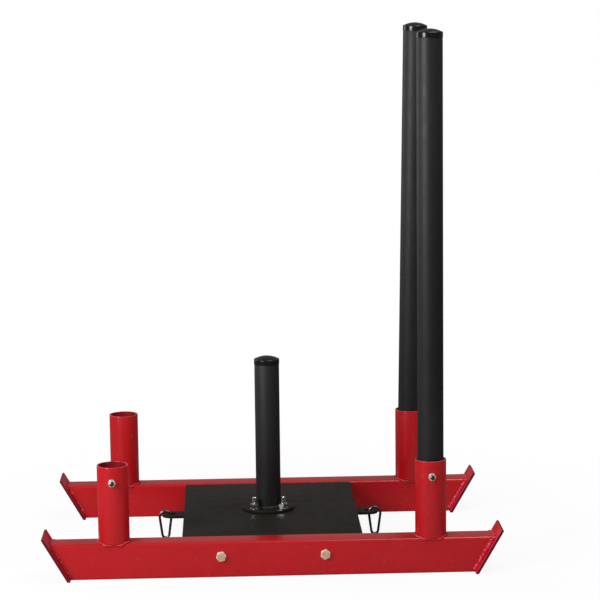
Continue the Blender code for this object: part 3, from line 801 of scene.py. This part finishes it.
class SLED_OT_sockets(Operator):
    """Model the four pole sockets: round tube with a hole for its lock screw"""

    bl_idname = "sled.sockets"
    bl_label = "Pole sockets"

    def execute(self, context):
        sizes = context.scene.sled_sizes
        for corner, _, side in CORNERS:
            node = f"pole_socket_{corner}"
            low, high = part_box(node)
            middle, radius = middle_of(node), size_of(node).x / 2
            piece = tube(radius, sizes.socket_wall, low.z, high.z, sizes.tube_sides, sizes.rim_edge)
            put(piece, at(middle.x, middle.y))
            screw = f"lock_screw_{corner}"
            hole = rod(size_of(screw).z / 2 + PLAY, 0, radius + PAST)
            combine(piece, put(hole, at(middle.x, middle.y, middle_of(screw).z) @ outward(side)))
            dress(piece, f"{corner}_socket_tube", BODY, red_paint(), "red_paint", node)
            # The inner walls get the darker red, a painted shade for the dim inside of the socket
            bore = radius - sizes.socket_wall + 0.1 * MM
            paint_part(piece, bore_shade_paint(), lambda face: (face.center.xy - middle.xy).length < bore)
            # The rims' top faces get the lighter pink, a painted highlight
            rim = high.z - sizes.rim_edge
            paint_part(piece, rim_highlight_paint(), lambda face: face.center.z > rim)
        return {"FINISHED"}


class SLED_OT_lock_screws(Operator):
    """Model the lock screws with their threads and key sockets, and the lock nuts"""

    bl_idname = "sled.lock_screws"
    bl_label = "Lock screws and nuts"

    def execute(self, context):
        sizes = context.scene.sled_sizes
        screw_size = size_of("lock_screw_near_left")
        radius = screw_size.z / 2
        screw = self.screw_model(sizes, radius, screw_size.y)
        nut = nut_model(sizes.m8_flats, 0, size_of("lock_nut_near_left").y, radius)
        for corner, _, side in CORNERS:
            node = f"lock_screw_{corner}"
            piece = copy_to(screw, on_inner_face(node, side))
            dress(piece, f"{corner}_grub_screw", f"screw_{corner}", dark_reflection_and_oxide_steel(), "bright_steel", node)
            node = f"lock_nut_{corner}"
            piece = copy_to(nut, on_inner_face(node, side))
            dress(piece, f"{corner}_jam_nut", BODY, pale_zinc(), "bright_steel", node)
        discard(screw, nut)
        return {"FINISHED"}

    def screw_model(self, sizes, radius, long):
        """A threaded screw from z = 0 up, with a cupped end and a key socket in it."""
        screw = thread(radius, sizes.m8_pitch, 0, long)
        floor_rim, mouth_rim = 1.9 * MM, 1.2 * MM
        cup = lathe([(radius - floor_rim, 0), (radius - mouth_rim, 0.8 * MM)], ROUND)
        combine(screw, put(cup, at(z=long - 0.6 * MM)))
        combine(screw, rod(sizes.key_flats / sqrt(3), long - sizes.key_depth, long + PAST, 6))
        return close_up(screw)


def cap_model(sizes, radius):
    """A domed cap that sits on z = 0, with its stem below."""
    height = size_of("post_cap").z - sizes.cap_stem
    stem = radius - sizes.tube_wall - PLAY
    outer = radius + sizes.cap_overhang
    sleeve = radius + 0.1 * MM
    hem, fold = -sizes.cap_sleeve, 0.2 * MM
    profile = [(stem - MM, -sizes.cap_stem), (stem, MM - sizes.cap_stem), (stem, 0), (sleeve, 0)]
    profile += [(sleeve, hem), (outer - fold, hem), (outer, hem + fold), (outer, sizes.cap_rim)]
    shoulder_steps, dome_steps = 6, 12
    for step in range(1, shoulder_steps + 1):
        turn = step / shoulder_steps * QUARTER
        inset = sizes.cap_shoulder * (1 - cos(turn))
        profile.append((outer - inset, sizes.cap_rim + sizes.cap_shoulder * sin(turn)))
    base = outer - sizes.cap_shoulder
    rise = height - sizes.cap_rim - sizes.cap_shoulder
    ball = (base ** 2 + rise ** 2) / (2 * rise)
    widest = asin(min(base / ball, 1))
    for step in range(1, dome_steps):
        turn = widest * (1 - step / dome_steps)
        profile.append((ball * sin(turn), height - ball * (1 - cos(turn))))
    profile.append((0, height))
    return lathe(profile, sizes.tube_sides)


def shaft_model(sizes, node, axis):
    """The tube of a node that leans along an axis, with its place, its half length and its radius."""
    size = size_of(node)
    width = size.y
    lean = Vector((0, 0, 1)).rotation_difference(Vector(axis))
    half = (size.z - width * sin(lean.angle)) / cos(lean.angle) / 2
    place = Matrix.Translation(middle_of(node)) @ lean.to_matrix().to_4x4()
    shaft = tube(width / 2, sizes.tube_wall, -half, half, sizes.tube_sides, sizes.rim_edge)
    return put(shaft, place), place, half, width / 2


class SLED_OT_poles(Operator):
    """Model the two push poles with their caps and plugs"""

    bl_idname = "sled.poles"
    bl_label = "Push poles"

    def execute(self, context):
        sizes = context.scene.sled_sizes
        for side_name in SIDES:
            body = f"pole_{side_name}"
            axis = JOINTS[f"{body}_lift"]["axis"]
            shaft, place, half, radius = shaft_model(sizes, f"{body}_tube", axis)
            dress(shaft, f"{side_name}_pole_shaft", body, tube_paint(), "black_paint", f"{body}_tube")
            cap = put(cap_model(sizes, radius), place @ at(z=half + PLAY))
            dress(cap, f"{side_name}_pole_end_cap", body, cap_plastic(), "black_plastic", f"{body}_cap")
            plug = put(self.plug_model(sizes, radius), place @ at(z=-half - PLAY))
            dress(plug, f"{side_name}_pole_foot", body, cap_plastic(), "black_plastic", f"{body}_plug")
        return {"FINISHED"}

    def plug_model(self, sizes, radius):
        """A plug whose rim ends just under z = 0, with its stem above."""
        rim, top = sizes.plug_rim, sizes.cap_stem
        stem = radius - sizes.tube_wall - PLAY
        edge = 0.6 * MM
        profile = [(radius - edge, -rim), (radius, edge - rim), (radius, -0.1 * MM), (stem, 0)]
        profile += [(stem, top - MM), (stem - MM, top)]
        return lathe(profile, sizes.tube_sides)


class SLED_OT_post(Operator):
    """Model the weight post with its cap and its flange"""

    bl_idname = "sled.post"
    bl_label = "Weight post"

    def execute(self, context):
        sizes = context.scene.sled_sizes
        shaft, place, half, radius = shaft_model(sizes, "post_tube", (0, 0, 1))
        dress(shaft, "post_shaft", BODY, tube_paint(), "black_paint", "post_tube")
        cap = put(cap_model(sizes, radius), place @ at(z=half + PLAY))
        dress(cap, "post_end_cap", BODY, cap_plastic(), "black_plastic", "post_cap")

        low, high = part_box("post_flange")
        disc = rod(size_of("post_flange").x / 2, low.z, high.z, sizes.tube_sides)
        middle = middle_of("post_tube")
        put(disc, at(middle.x, middle.y))
        soften(disc, sizes.flange_edge, 3)
        for name in FLANGE_BOLTS:
            bolt = middle_of(f"flange_bolt_{name}")
            hole = rod(sizes.m10 / 2 + PLAY, low.z - PAST, high.z + PAST)
            combine(disc, put(hole, at(bolt.x, bolt.y)))
        dress(disc, "post_flange_disc", BODY, plate_paint(), "black_paint", "post_flange")
        return {"FINISHED"}


class SLED_OT_platform(Operator):
    """Model the platform: a plate with a flat bar under each side edge"""

    bl_idname = "sled.platform"
    bl_label = "Platform"

    def execute(self, context):
        sizes = context.scene.sled_sizes
        low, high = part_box("platform")
        under = high.z - sizes.platform_thickness
        inner = high.y - sizes.skirt_thickness
        piece = block((low.x, low.y, under), high)
        edit(piece)
        for across in (low.y + sizes.skirt_thickness, inner):
            pick(piece, "FACE", lambda face: face.normal.z < -ALONG)
            bpy.ops.mesh.bisect(plane_co=(0, across, 0), plane_no=(0, 1, 0))
        pick(piece, "FACE", lambda face: (
            face.normal.z < -ALONG and abs(face.calc_center_median().y) > inner
        ))
        bpy.ops.mesh.extrude_region_move(TRANSFORM_OT_translate={"value": (0, 0, low.z - under)})
        done()
        close_up(piece)
        soften(piece, sizes.platform_edge, 3)
        for corner, _, _ in CORNERS:
            drill_side_bolt(piece, corner)
        dress(piece, "platform_plate", BODY, plate_paint(), "black_paint", "platform")
        return {"FINISHED"}


class SLED_OT_flange_bolts(Operator):
    """Model the bolts through the post's flange with their washers and nuts"""

    bl_idname = "sled.flange_bolts"
    bl_label = "Flange bolts"

    def execute(self, context):
        sizes = context.scene.sled_sizes
        low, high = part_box("flange_bolt_near_left")
        washer_low, washer_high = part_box("flange_washer_near_left")
        nut_low, nut_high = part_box("flange_nut_near_left")
        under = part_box("platform")[1].z - sizes.platform_thickness - PLAY
        radius = sizes.m10 / 2
        head = hexagon(sizes.m10_flats, low.z, under, chamfer_high=False)
        shank = rod(radius, under - PAST, washer_low.z)
        stud = thread(radius, sizes.m10_pitch, -high.z, -washer_low.z + PAST)
        bolt = join([head, shank, put(stud, about("X", pi))])
        outer = size_of("flange_washer_near_left").x / 2
        washer = tube(outer, outer - radius - PLAY, washer_low.z, washer_high.z, 2 * ROUND, 0.25 * MM)
        nut = nut_model(sizes.m10_flats, nut_low.z, nut_high.z, radius)
        for index, name in enumerate(FLANGE_BOLTS):
            middle = middle_of(f"flange_bolt_{name}")
            spot = at(middle.x, middle.y)
            head_turn, nut_turn = radians(17 * index), radians(11 + 23 * index)
            for model, turn, piece_name, node in (
                (bolt, head_turn, "flange_stud", "flange_bolt"),
                (washer, 0, "washer", "flange_washer"),
                (nut, nut_turn, "flange_hex_nut", "flange_nut"),
            ):
                piece = copy_to(model, spot @ about("Z", turn))
                dress(piece, f"{name}_{piece_name}", BODY, bright_zinc(), "bright_steel", f"{node}_{name}")
        discard(bolt, washer, nut)
        return {"FINISHED"}


class SLED_OT_side_bolts(Operator):
    """Model the bolts through the runners and the platform's skirts, with their nuts"""

    bl_idname = "sled.side_bolts"
    bl_label = "Side bolts"

    def execute(self, context):
        sizes = context.scene.sled_sizes
        low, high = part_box("side_bolt_near_left")
        runner_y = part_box("runner_near")[0].y
        bolt = self.bolt_model(sizes, runner_y - low.y, high.y - runner_y)
        nut = nut_model(sizes.m10_flats, 0, size_of("side_nut_near_left").y, sizes.m10 / 2)
        turns = {ENDS["left"]: radians(10), ENDS["right"]: radians(24)}
        # The head's outer end, outside this radius, gets a lighter zinc as a painted highlight
        highlight_y, highlight_radius = abs(low.y) - 2 * MM, sizes.m10_flats * 0.36
        for corner, end, side in CORNERS:
            middle = middle_of(f"side_bolt_{corner}")
            turn = about("Z", turns[end])
            piece = copy_to(bolt, at(middle.x, side * abs(runner_y), middle.z) @ outward(side) @ turn)
            dress(piece, f"{corner}_runner_bolt", BODY, yellow_zinc(), "zinc", f"side_bolt_{corner}")
            paint_part(piece, zinc_rim_highlight(), lambda face: (
                side * face.center.y > highlight_y and (face.center.xz - middle.xz).length > highlight_radius
            ))
            node = f"side_nut_{corner}"
            piece = copy_to(nut, on_inner_face(node, side) @ turn)
            dress(piece, f"{corner}_runner_nut", BODY, yellow_zinc(), "zinc", node)
        discard(bolt, nut)
        return {"FINISHED"}

    def bolt_model(self, sizes, head_high, long):
        """A bolt with its head above z = 0, a raised face on it, a plain shank and a thread below."""
        flats, radius = sizes.m10_flats, sizes.m10 / 2
        shank_long = long * 0.62
        face_low, face_high = head_high - 0.1 * MM, head_high + 0.12 * MM
        head = hexagon(flats, PLAY, head_high, chamfer_low=False)
        face = lathe([(flats * 0.44, face_low), (flats * 0.43, face_high)], 48)
        shank = rod(radius, -shank_long, PLAY + PAST)
        stud = thread(radius, sizes.m10_pitch, -long, -shank_long + PAST)
        return join([head, face, shank, stud])


class SLED_OT_tow_lugs(Operator):
    """Model the two tow lugs: flat bar with a round tip about its eye"""

    bl_idname = "sled.tow_lugs"
    bl_label = "Tow lugs"

    def execute(self, context):
        sizes = context.scene.sled_sizes
        for end_name, end in ENDS.items():
            node = f"tow_lug_{end_name}"
            low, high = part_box(node)
            half = size_of(node).y / 2
            back, tip = sorted((abs(low.x), abs(high.x)))
            eye = tip - half
            piece = block((back, -half, low.z), (eye, half, high.z))
            nose = rod(half, low.z, high.z, sizes.tube_sides)
            combine(piece, put(nose, at(x=eye)), "UNION")
            hole = rod(sizes.lug_eye / 2, low.z - PAST, high.z + PAST, 2 * ROUND)
            combine(piece, put(hole, at(x=eye)))
            soften(piece, sizes.lug_edge, 2)
            close_up(piece)
            put(piece, facing(end))
            dress(piece, f"{end_name}_lug_bar", BODY, plate_paint(), "black_paint", node)
        return {"FINISHED"}


class SLED_OT_snap_hooks(Operator):
    """Model the snap hooks: bent wire with a forked gate on a riveted pin"""

    bl_idname = "sled.snap_hooks"
    bl_label = "Snap hooks"

    def execute(self, context):
        sizes = context.scene.sled_sizes
        pivot = Vector(JOINTS["hook_right_swing"]["pos_m"])
        hinge = Vector(JOINTS["gate_right_open"]["pos_m"]) - pivot
        radius = sizes.wire / 2
        centres = size_of("hook_right").z - sizes.wire - sizes.hook_wide - sizes.hook_narrow
        taper = asin((sizes.hook_wide - sizes.hook_narrow) / centres)
        leg = Matrix.Translation(hinge) @ about("Y", -taper)
        wire = self.wire_model(sizes, radius, centres, taper, leg)
        gate = self.gate_model(sizes, radius, leg)
        pin = self.pin_model(sizes, radius, leg)
        for end_name, end in ENDS.items():
            place = facing(end) @ Matrix.Translation(pivot)
            hook = f"snap_hook_{end_name}"
            for model, piece_name, body, node in (
                (wire, "hook_wire", hook, "hook"),
                (pin, "gate_rivet", hook, "gate_pin"),
                (gate, "spring_gate", f"gate_{end_name}", "hook_gate"),
            ):
                piece = copy_to(model, place)
                name = f"{end_name}_{piece_name}"
                # The hooks' steel is painted dark, for the dark surroundings that it mirrors
                dress(piece, name, body, dark_reflection_and_oxide_steel(), "bright_steel", f"{node}_{end_name}")
        discard(wire, gate, pin)
        return {"FINISHED"}

    def wire_model(self, sizes, radius, centres, taper, leg):
        """The wire from its nose over the wide end, round the narrow end and up to the hinge."""
        wide, narrow, nose, sides = sizes.hook_wide, sizes.hook_narrow, sizes.hook_nose, 24
        start = leg @ Vector((0, 0, nose))
        hinge = leg @ Vector((0, 0, 0))
        wide_start = Vector((-wide * cos(taper), 0, -wide * sin(taper)))
        foot = Vector((-narrow * cos(taper), 0, -centres - narrow * sin(taper)))
        down = Vector((-sin(taper), 0, -cos(taper)))
        sweep = pi + 2 * taper
        deselect()
        bpy.ops.mesh.primitive_circle_add(vertices=sides, radius=radius, fill_type="NOTHING")
        piece = put(bpy.context.object, Matrix.Translation(start) @ about("Y", -taper))
        edit(piece)
        bpy.ops.mesh.select_mode(type="EDGE")
        bpy.ops.mesh.select_all(action="SELECT")
        self.draw_by(wide_start - start)
        bpy.ops.mesh.spin(steps=36, angle=-sweep, center=(0, 0, 0), axis=(0, 1, 0))
        self.draw_by(down * sqrt(centres ** 2 - (wide - narrow) ** 2))
        bpy.ops.mesh.spin(steps=28, angle=sweep - 2 * pi, center=(0, 0, -centres), axis=(0, 1, 0))
        self.draw_by(hinge - foot)
        self.round_off(hinge, (hinge - foot).normalized(), radius)
        bpy.ops.mesh.select_all(action="DESELECT")
        bpy.ops.mesh.select_non_manifold()
        bpy.ops.mesh.fill_holes(sides=sides)
        done()
        close_up(piece)
        clear = 0.5 * MM
        self.thin(piece, sizes, leg, -radius - clear, radius + clear)
        self.thin(piece, sizes, leg, nose - clear, sizes.gate_length)
        self.bore(piece, sizes, leg, 0)
        return piece

    def draw_by(self, step):
        """Extrude the selected ring by a step."""
        bpy.ops.mesh.extrude_edges_move(TRANSFORM_OT_translate={"value": tuple(step)})

    def round_off(self, centre, ahead, radius):
        """Round the wire's end by rings that narrow towards its tip, which stays open."""
        turns = [step / 6 * QUARTER for step in range(6)]
        for before, turn in zip(turns, turns[1:]):
            self.draw_by(ahead * radius * (sin(turn) - sin(before)))
            share = cos(turn) / cos(before)
            middle = centre + ahead * radius * sin(turn)
            bpy.ops.transform.resize(value=(share, share, share), center_override=tuple(middle))

    def thin(self, piece, sizes, leg, low, high):
        """Cut the wire down to a tongue between two heights along the gate's leg."""
        wide = sizes.wire
        for inner, outer in ((-wide, -sizes.tongue / 2), (sizes.tongue / 2, wide)):
            combine(piece, put(block((-wide, inner, low), (wide, outer, high)), leg))

    def bore(self, piece, sizes, leg, turn):
        """Drill the pin's hole across the gate's leg."""
        drill = rod(sizes.pin / 2 + 0.15 * MM, -sizes.wire, sizes.wire, 24, turn)
        combine(piece, put(drill, leg @ about("X", QUARTER)))

    def gate_model(self, sizes, radius, leg):
        """The gate: a rod with a round lower end, slotted at both ends."""
        turns = [step / 6 * QUARTER for step in range(1, 7)]
        profile = [(radius * sin(turn), -radius * cos(turn)) for turn in turns]
        clear, chamfer = 0.5 * MM, 0.4 * MM
        top = sizes.gate_length - clear
        profile += [(radius, top - chamfer), (radius - chamfer, top)]
        piece = lathe(profile, ROUND)
        wide = sizes.wire
        slot = sizes.tongue / 2 + PLAY
        notch = sizes.gate_length - 4.5 * MM
        for low, high in ((-wide, radius + clear), (notch, sizes.gate_length + PAST)):
            combine(piece, block((-wide, -slot, low), (wide, slot, high)))
        self.bore(piece, sizes, Matrix(), radians(4))
        return put(piece, leg)

    def pin_model(self, sizes, radius, leg):
        """The gate's pin with a flattened head at each end."""
        half = radius + 0.05 * MM
        shank = sizes.pin / 2
        head = shank + 0.35 * MM
        crown, rim = 0.25 * MM, 0.05 * MM
        upper = [(shank, half), (head, half), (head, half + rim), (head - crown, half + crown)]
        lower = [(reach, -height) for reach, height in reversed(upper)]
        return put(lathe(lower + upper, 24), leg @ about("X", QUARTER))


class SLED_OT_welds(Operator):
    """Model the weld beads at the sockets, the skid plates, the post and the tow lugs"""

    bl_idname = "sled.welds"
    bl_label = "Weld beads"

    def execute(self, context):
        sizes = context.scene.sled_sizes
        noise.seed_set(WELD_SEED)
        for index, (corner, end, _) in enumerate(CORNERS):
            line = self.socket_line(corner, sizes)
            piece = bead(line, sizes.socket_weld, sizes.ripple, index, closed=True)
            dress(piece, f"{corner}_socket_weld", BODY, red_paint(), "red_paint")
            piece = self.skid_beads(corner, end, sizes, index)
            # Painted light and shade: the right ends' welds, which face the light, get the lighter red; the
            # left ones, in shade, keep the plain red
            coat = lit_weld_paint() if end > 0 else red_paint()
            dress(piece, f"{corner}_skid_weld", BODY, coat, "red_paint")
        self.post_weld(sizes)
        self.lug_welds(sizes)
        return {"FINISHED"}

    def socket_line(self, corner, sizes):
        """Round a socket's foot, and down over the runner's edges where the socket overhangs it."""
        node = f"pole_socket_{corner}"
        middle = middle_of(node)
        reach = size_of(node).x / 2 + sizes.socket_weld * 0.25
        half = size_of(f"runner_{corner.split('_')[0]}").y / 2
        edge = half + sizes.socket_weld * 0.2
        flat = half - sizes.runner_corner
        lowest = sizes.socket_weld * 1.1
        line = ring(middle, reach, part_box(node)[0].z + 0.3 * MM, 260)
        for point in line:
            across = point.y - middle.y
            over = max(abs(across) - flat, 0)
            point.z -= min(over / (edge - flat), 1) ** 2 * lowest
            point.y = middle.y + max(min(across, edge), -edge)
        return line

    def skid_beads(self, corner, end, sizes, index):
        """A wide flat bead up both sides of the runner's end and a thin one over its top."""
        runner = f"runner_{corner.split('_')[0]}"
        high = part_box(runner)[1]
        middle, half = middle_of(runner).y, size_of(runner).y / 2
        # The right ends' beads are the full ones in the photograph
        thick = sizes.skid_weld * (1 if end > 0 else 0.7)
        thin = thick * 0.5
        foot = thick * 0.9
        round_off = sizes.runner_corner * 0.6
        spacing = 0.7 * MM

        def spot(across, height, back):
            """A point on the runner's sloping end, moved back from it."""
            x = high.x - (high.z - height) / tan(sizes.skid_slope) - back
            return end * x, middle + across, height

        beads = []
        for sign in (-1, 1):
            deep, back = sign * (half - thick * 0.45), thick * 0.3
            line = fine_line([spot(deep, foot, back), spot(deep, high.z - round_off, back)], spacing)
            beads.append(bead(line, thick, sizes.ripple * 2.4, index + 10 + 4 * sign))
        flat, over, back = half - round_off, high.z - thin * 0.3, thin * 0.2
        line = fine_line([spot(-flat, over, back), spot(flat, over, back)], spacing)
        beads.append(bead(line, thin, sizes.ripple, index + 20))
        return join(beads)

    def post_weld(self, sizes):
        """A ring where the post stands on its flange."""
        reach = size_of("post_tube").x / 2 + sizes.post_weld * 0.2
        line = ring(middle_of("post_tube"), reach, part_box("post_tube")[0].z + 0.4 * MM, 220)
        piece = bead(line, sizes.post_weld, sizes.ripple, 31, closed=True)
        dress(piece, "post_foot_weld", BODY, tube_paint(), "black_paint")

    def lug_welds(self, sizes):
        """Beads under the platform along both sides and the back of each lug."""
        platform_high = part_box("platform")[1]
        out = sizes.lug_weld * 0.3
        height = platform_high.z - sizes.platform_thickness - sizes.lug_weld * 0.5
        for index, (end_name, end) in enumerate(ENDS.items()):
            low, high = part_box(f"tow_lug_{end_name}")
            front = end * (platform_high.x - 3 * MM)
            back = end * (min(abs(low.x), abs(high.x)) - out)
            near, far = low.y - out, high.y + out
            corners = ((front, near), (back, near), (back, far), (front, far))
            line = fine_line([(x, y, height) for x, y in corners], 0.8 * MM)
            piece = bead(line, sizes.lug_weld, sizes.ripple, index + 41)
            dress(piece, f"{end_name}_lug_weld", BODY, plate_paint(), "black_paint")


# Stage

class SLED_OT_stage(Operator):
    """Make the floor, the soft lights, the surroundings and the camera"""

    bl_idname = "sled.stage"
    bl_label = "Stage"

    def execute(self, context):
        studio = context.scene.sled_studio
        self.make_floor(context.scene.sled_colours.floor)
        self.make_world(context, studio)
        self.make_light("key_light", (-1.75, -1.8, 1.4), (0.9, 0.9), studio.key_power)
        self.make_light("top_light", (0.75, -0.4, 2.4), (1.2, 0.9), studio.top_power)
        self.make_light("side_light", (-1.9, 1.5, 1.2), (0.9, 1.8), studio.side_power)
        self.make_camera(context, studio)
        context.scene.view_settings.view_transform = "Standard"
        return {"FINISHED"}

    def make_floor(self, shade):
        """A pale floor that the camera sees as white, but for the sled's shadow."""
        deselect()
        bpy.ops.mesh.primitive_plane_add(size=24, location=(0, 0, 0))
        floor = bpy.context.object
        floor.name = "floor"
        material, tree, shader, coords = new_material("floor_white")
        shader.inputs["Roughness"].default_value = 1.0
        shader.inputs["Specular IOR Level"].default_value = 0.0
        seen = add(tree, "ShaderNodeLightPath", {}).outputs
        mirrored = (*shaded(shade, 0.15), 1)
        tones = {"A": (*shade, 1), "B": mirrored, "Factor": seen["Is Glossy Ray"]}
        tone = add(tree, "ShaderNodeMix", tones, data_type="RGBA")
        feed(tree, shader.inputs["Base Color"], tone.outputs["Result"])
        distance = add(tree, "ShaderNodeVectorMath", {0: coords}, operation="LENGTH")
        fade = between(tree, distance.outputs["Value"], 0.9, 1.0, 0.3, 1.1, interpolation_type="SMOOTHSTEP")
        share = add(tree, "ShaderNodeMath", {0: seen["Is Camera Ray"], 1: fade}, operation="MULTIPLY")
        glow = add(tree, "ShaderNodeEmission", {"Color": (1, 1, 1, 1), "Strength": 1.0})
        surfaces = {1: shader.outputs["BSDF"], 2: glow.outputs["Emission"]}
        mix = add(tree, "ShaderNodeMixShader", {"Fac": share.outputs["Value"], **surfaces})
        feed(tree, tree.nodes["Material Output"].inputs["Surface"], mix.outputs["Shader"])
        floor.data.materials.append(material)

    def make_world(self, context, studio):
        """White to the camera and through clear things, dimmer in gloss and as light."""
        world = bpy.data.worlds.new("studio")
        context.scene.world = world
        world.use_nodes = True
        tree = world.node_tree
        background = tree.nodes["Background"]
        background.inputs["Color"].default_value = (1, 1, 1, 1)
        seen = add(tree, "ShaderNodeLightPath", {}).outputs
        rays = {0: seen["Is Camera Ray"], 1: seen["Is Transmission Ray"]}
        direct = add(tree, "ShaderNodeMath", rays, operation="MAXIMUM")
        dim = between(tree, seen["Is Glossy Ray"], studio.ambient, studio.mirrored, 0, 1)
        strength = between(tree, direct.outputs["Value"], dim, 1.0, 0, 1)
        feed(tree, background.inputs["Strength"], strength)

    def make_light(self, name, place, size, power):
        """A rectangular soft light aimed at the sled."""
        light = bpy.data.lights.new(name, "AREA")
        light.shape = "RECTANGLE"
        light.size, light.size_y = size
        light.energy = power
        lamp = bpy.data.objects.new(name, light)
        lamp.location = place
        aim = Vector((0, 0, 0.3)) - Vector(place)
        lamp.rotation_mode = "QUATERNION"
        lamp.rotation_quaternion = aim.to_track_quat("-Z", "Y")
        bpy.context.scene.collection.objects.link(lamp)

    def make_camera(self, context, studio):
        """The camera at the photograph's place and angle."""
        camera = bpy.data.cameras.new("camera")
        camera.sensor_width = 36
        camera.lens = studio.lens
        viewer = bpy.data.objects.new("camera", camera)
        context.scene.collection.objects.link(viewer)
        pitch, yaw, roll = studio.camera_pitch, studio.camera_yaw, studio.camera_roll
        level = Vector((sin(yaw), cos(yaw), 0))
        right = Vector((cos(yaw), -sin(yaw), 0))
        ahead = cos(pitch) * level - Vector((0, 0, sin(pitch)))
        up = sin(pitch) * level + Vector((0, 0, cos(pitch)))
        across = cos(roll) * right + sin(roll) * up
        upward = -sin(roll) * right + cos(roll) * up
        turn = Matrix((across, upward, -ahead)).transposed().to_4x4()
        viewer.matrix_world = Matrix.Translation(studio.camera_place) @ turn
        context.scene.camera = viewer


class SLED_PT_panel(Panel):
    """Lists the steps and the sizes in the sidebar"""

    bl_idname = "SLED_PT_panel"
    bl_label = "Weight Sled"
    bl_space_type = "VIEW_3D"
    bl_region_type = "UI"
    bl_category = "Weight Sled"

    def draw(self, context):
        layout = self.layout
        for operator in OPERATORS:
            layout.operator(operator.bl_idname)
        for group in (context.scene.sled_sizes, context.scene.sled_colours, context.scene.sled_studio):
            box = layout.box()
            for name in group.__annotations__:
                box.prop(group, name)


OPERATORS = (
    SLED_OT_stage,
    SLED_OT_runners,
    SLED_OT_skid_plates,
    SLED_OT_sockets,
    SLED_OT_lock_screws,
    SLED_OT_poles,
    SLED_OT_post,
    SLED_OT_platform,
    SLED_OT_flange_bolts,
    SLED_OT_side_bolts,
    SLED_OT_tow_lugs,
    SLED_OT_snap_hooks,
    SLED_OT_welds,
)
CLASSES = (SledSizes, SledColours, StudioSettings, *OPERATORS, SLED_PT_panel)


def register():
    for item in CLASSES:
        bpy.utils.register_class(item)
    bpy.types.Scene.sled_sizes = PointerProperty(type=SledSizes)
    bpy.types.Scene.sled_colours = PointerProperty(type=SledColours)
    bpy.types.Scene.sled_studio = PointerProperty(type=StudioSettings)


def unregister():
    del bpy.types.Scene.sled_studio
    del bpy.types.Scene.sled_colours
    del bpy.types.Scene.sled_sizes
    for item in reversed(CLASSES):
        bpy.utils.unregister_class(item)


def main():
    register()
    bpy.ops.sled.stage()
    bpy.ops.sled.runners()
    bpy.ops.sled.skid_plates()
    bpy.ops.sled.sockets()
    bpy.ops.sled.lock_screws()
    bpy.ops.sled.poles()
    bpy.ops.sled.post()
    bpy.ops.sled.platform()
    bpy.ops.sled.flange_bolts()
    bpy.ops.sled.side_bolts()
    bpy.ops.sled.tow_lugs()
    bpy.ops.sled.snap_hooks()
    bpy.ops.sled.welds()


if __name__ == "__main__":
    main()
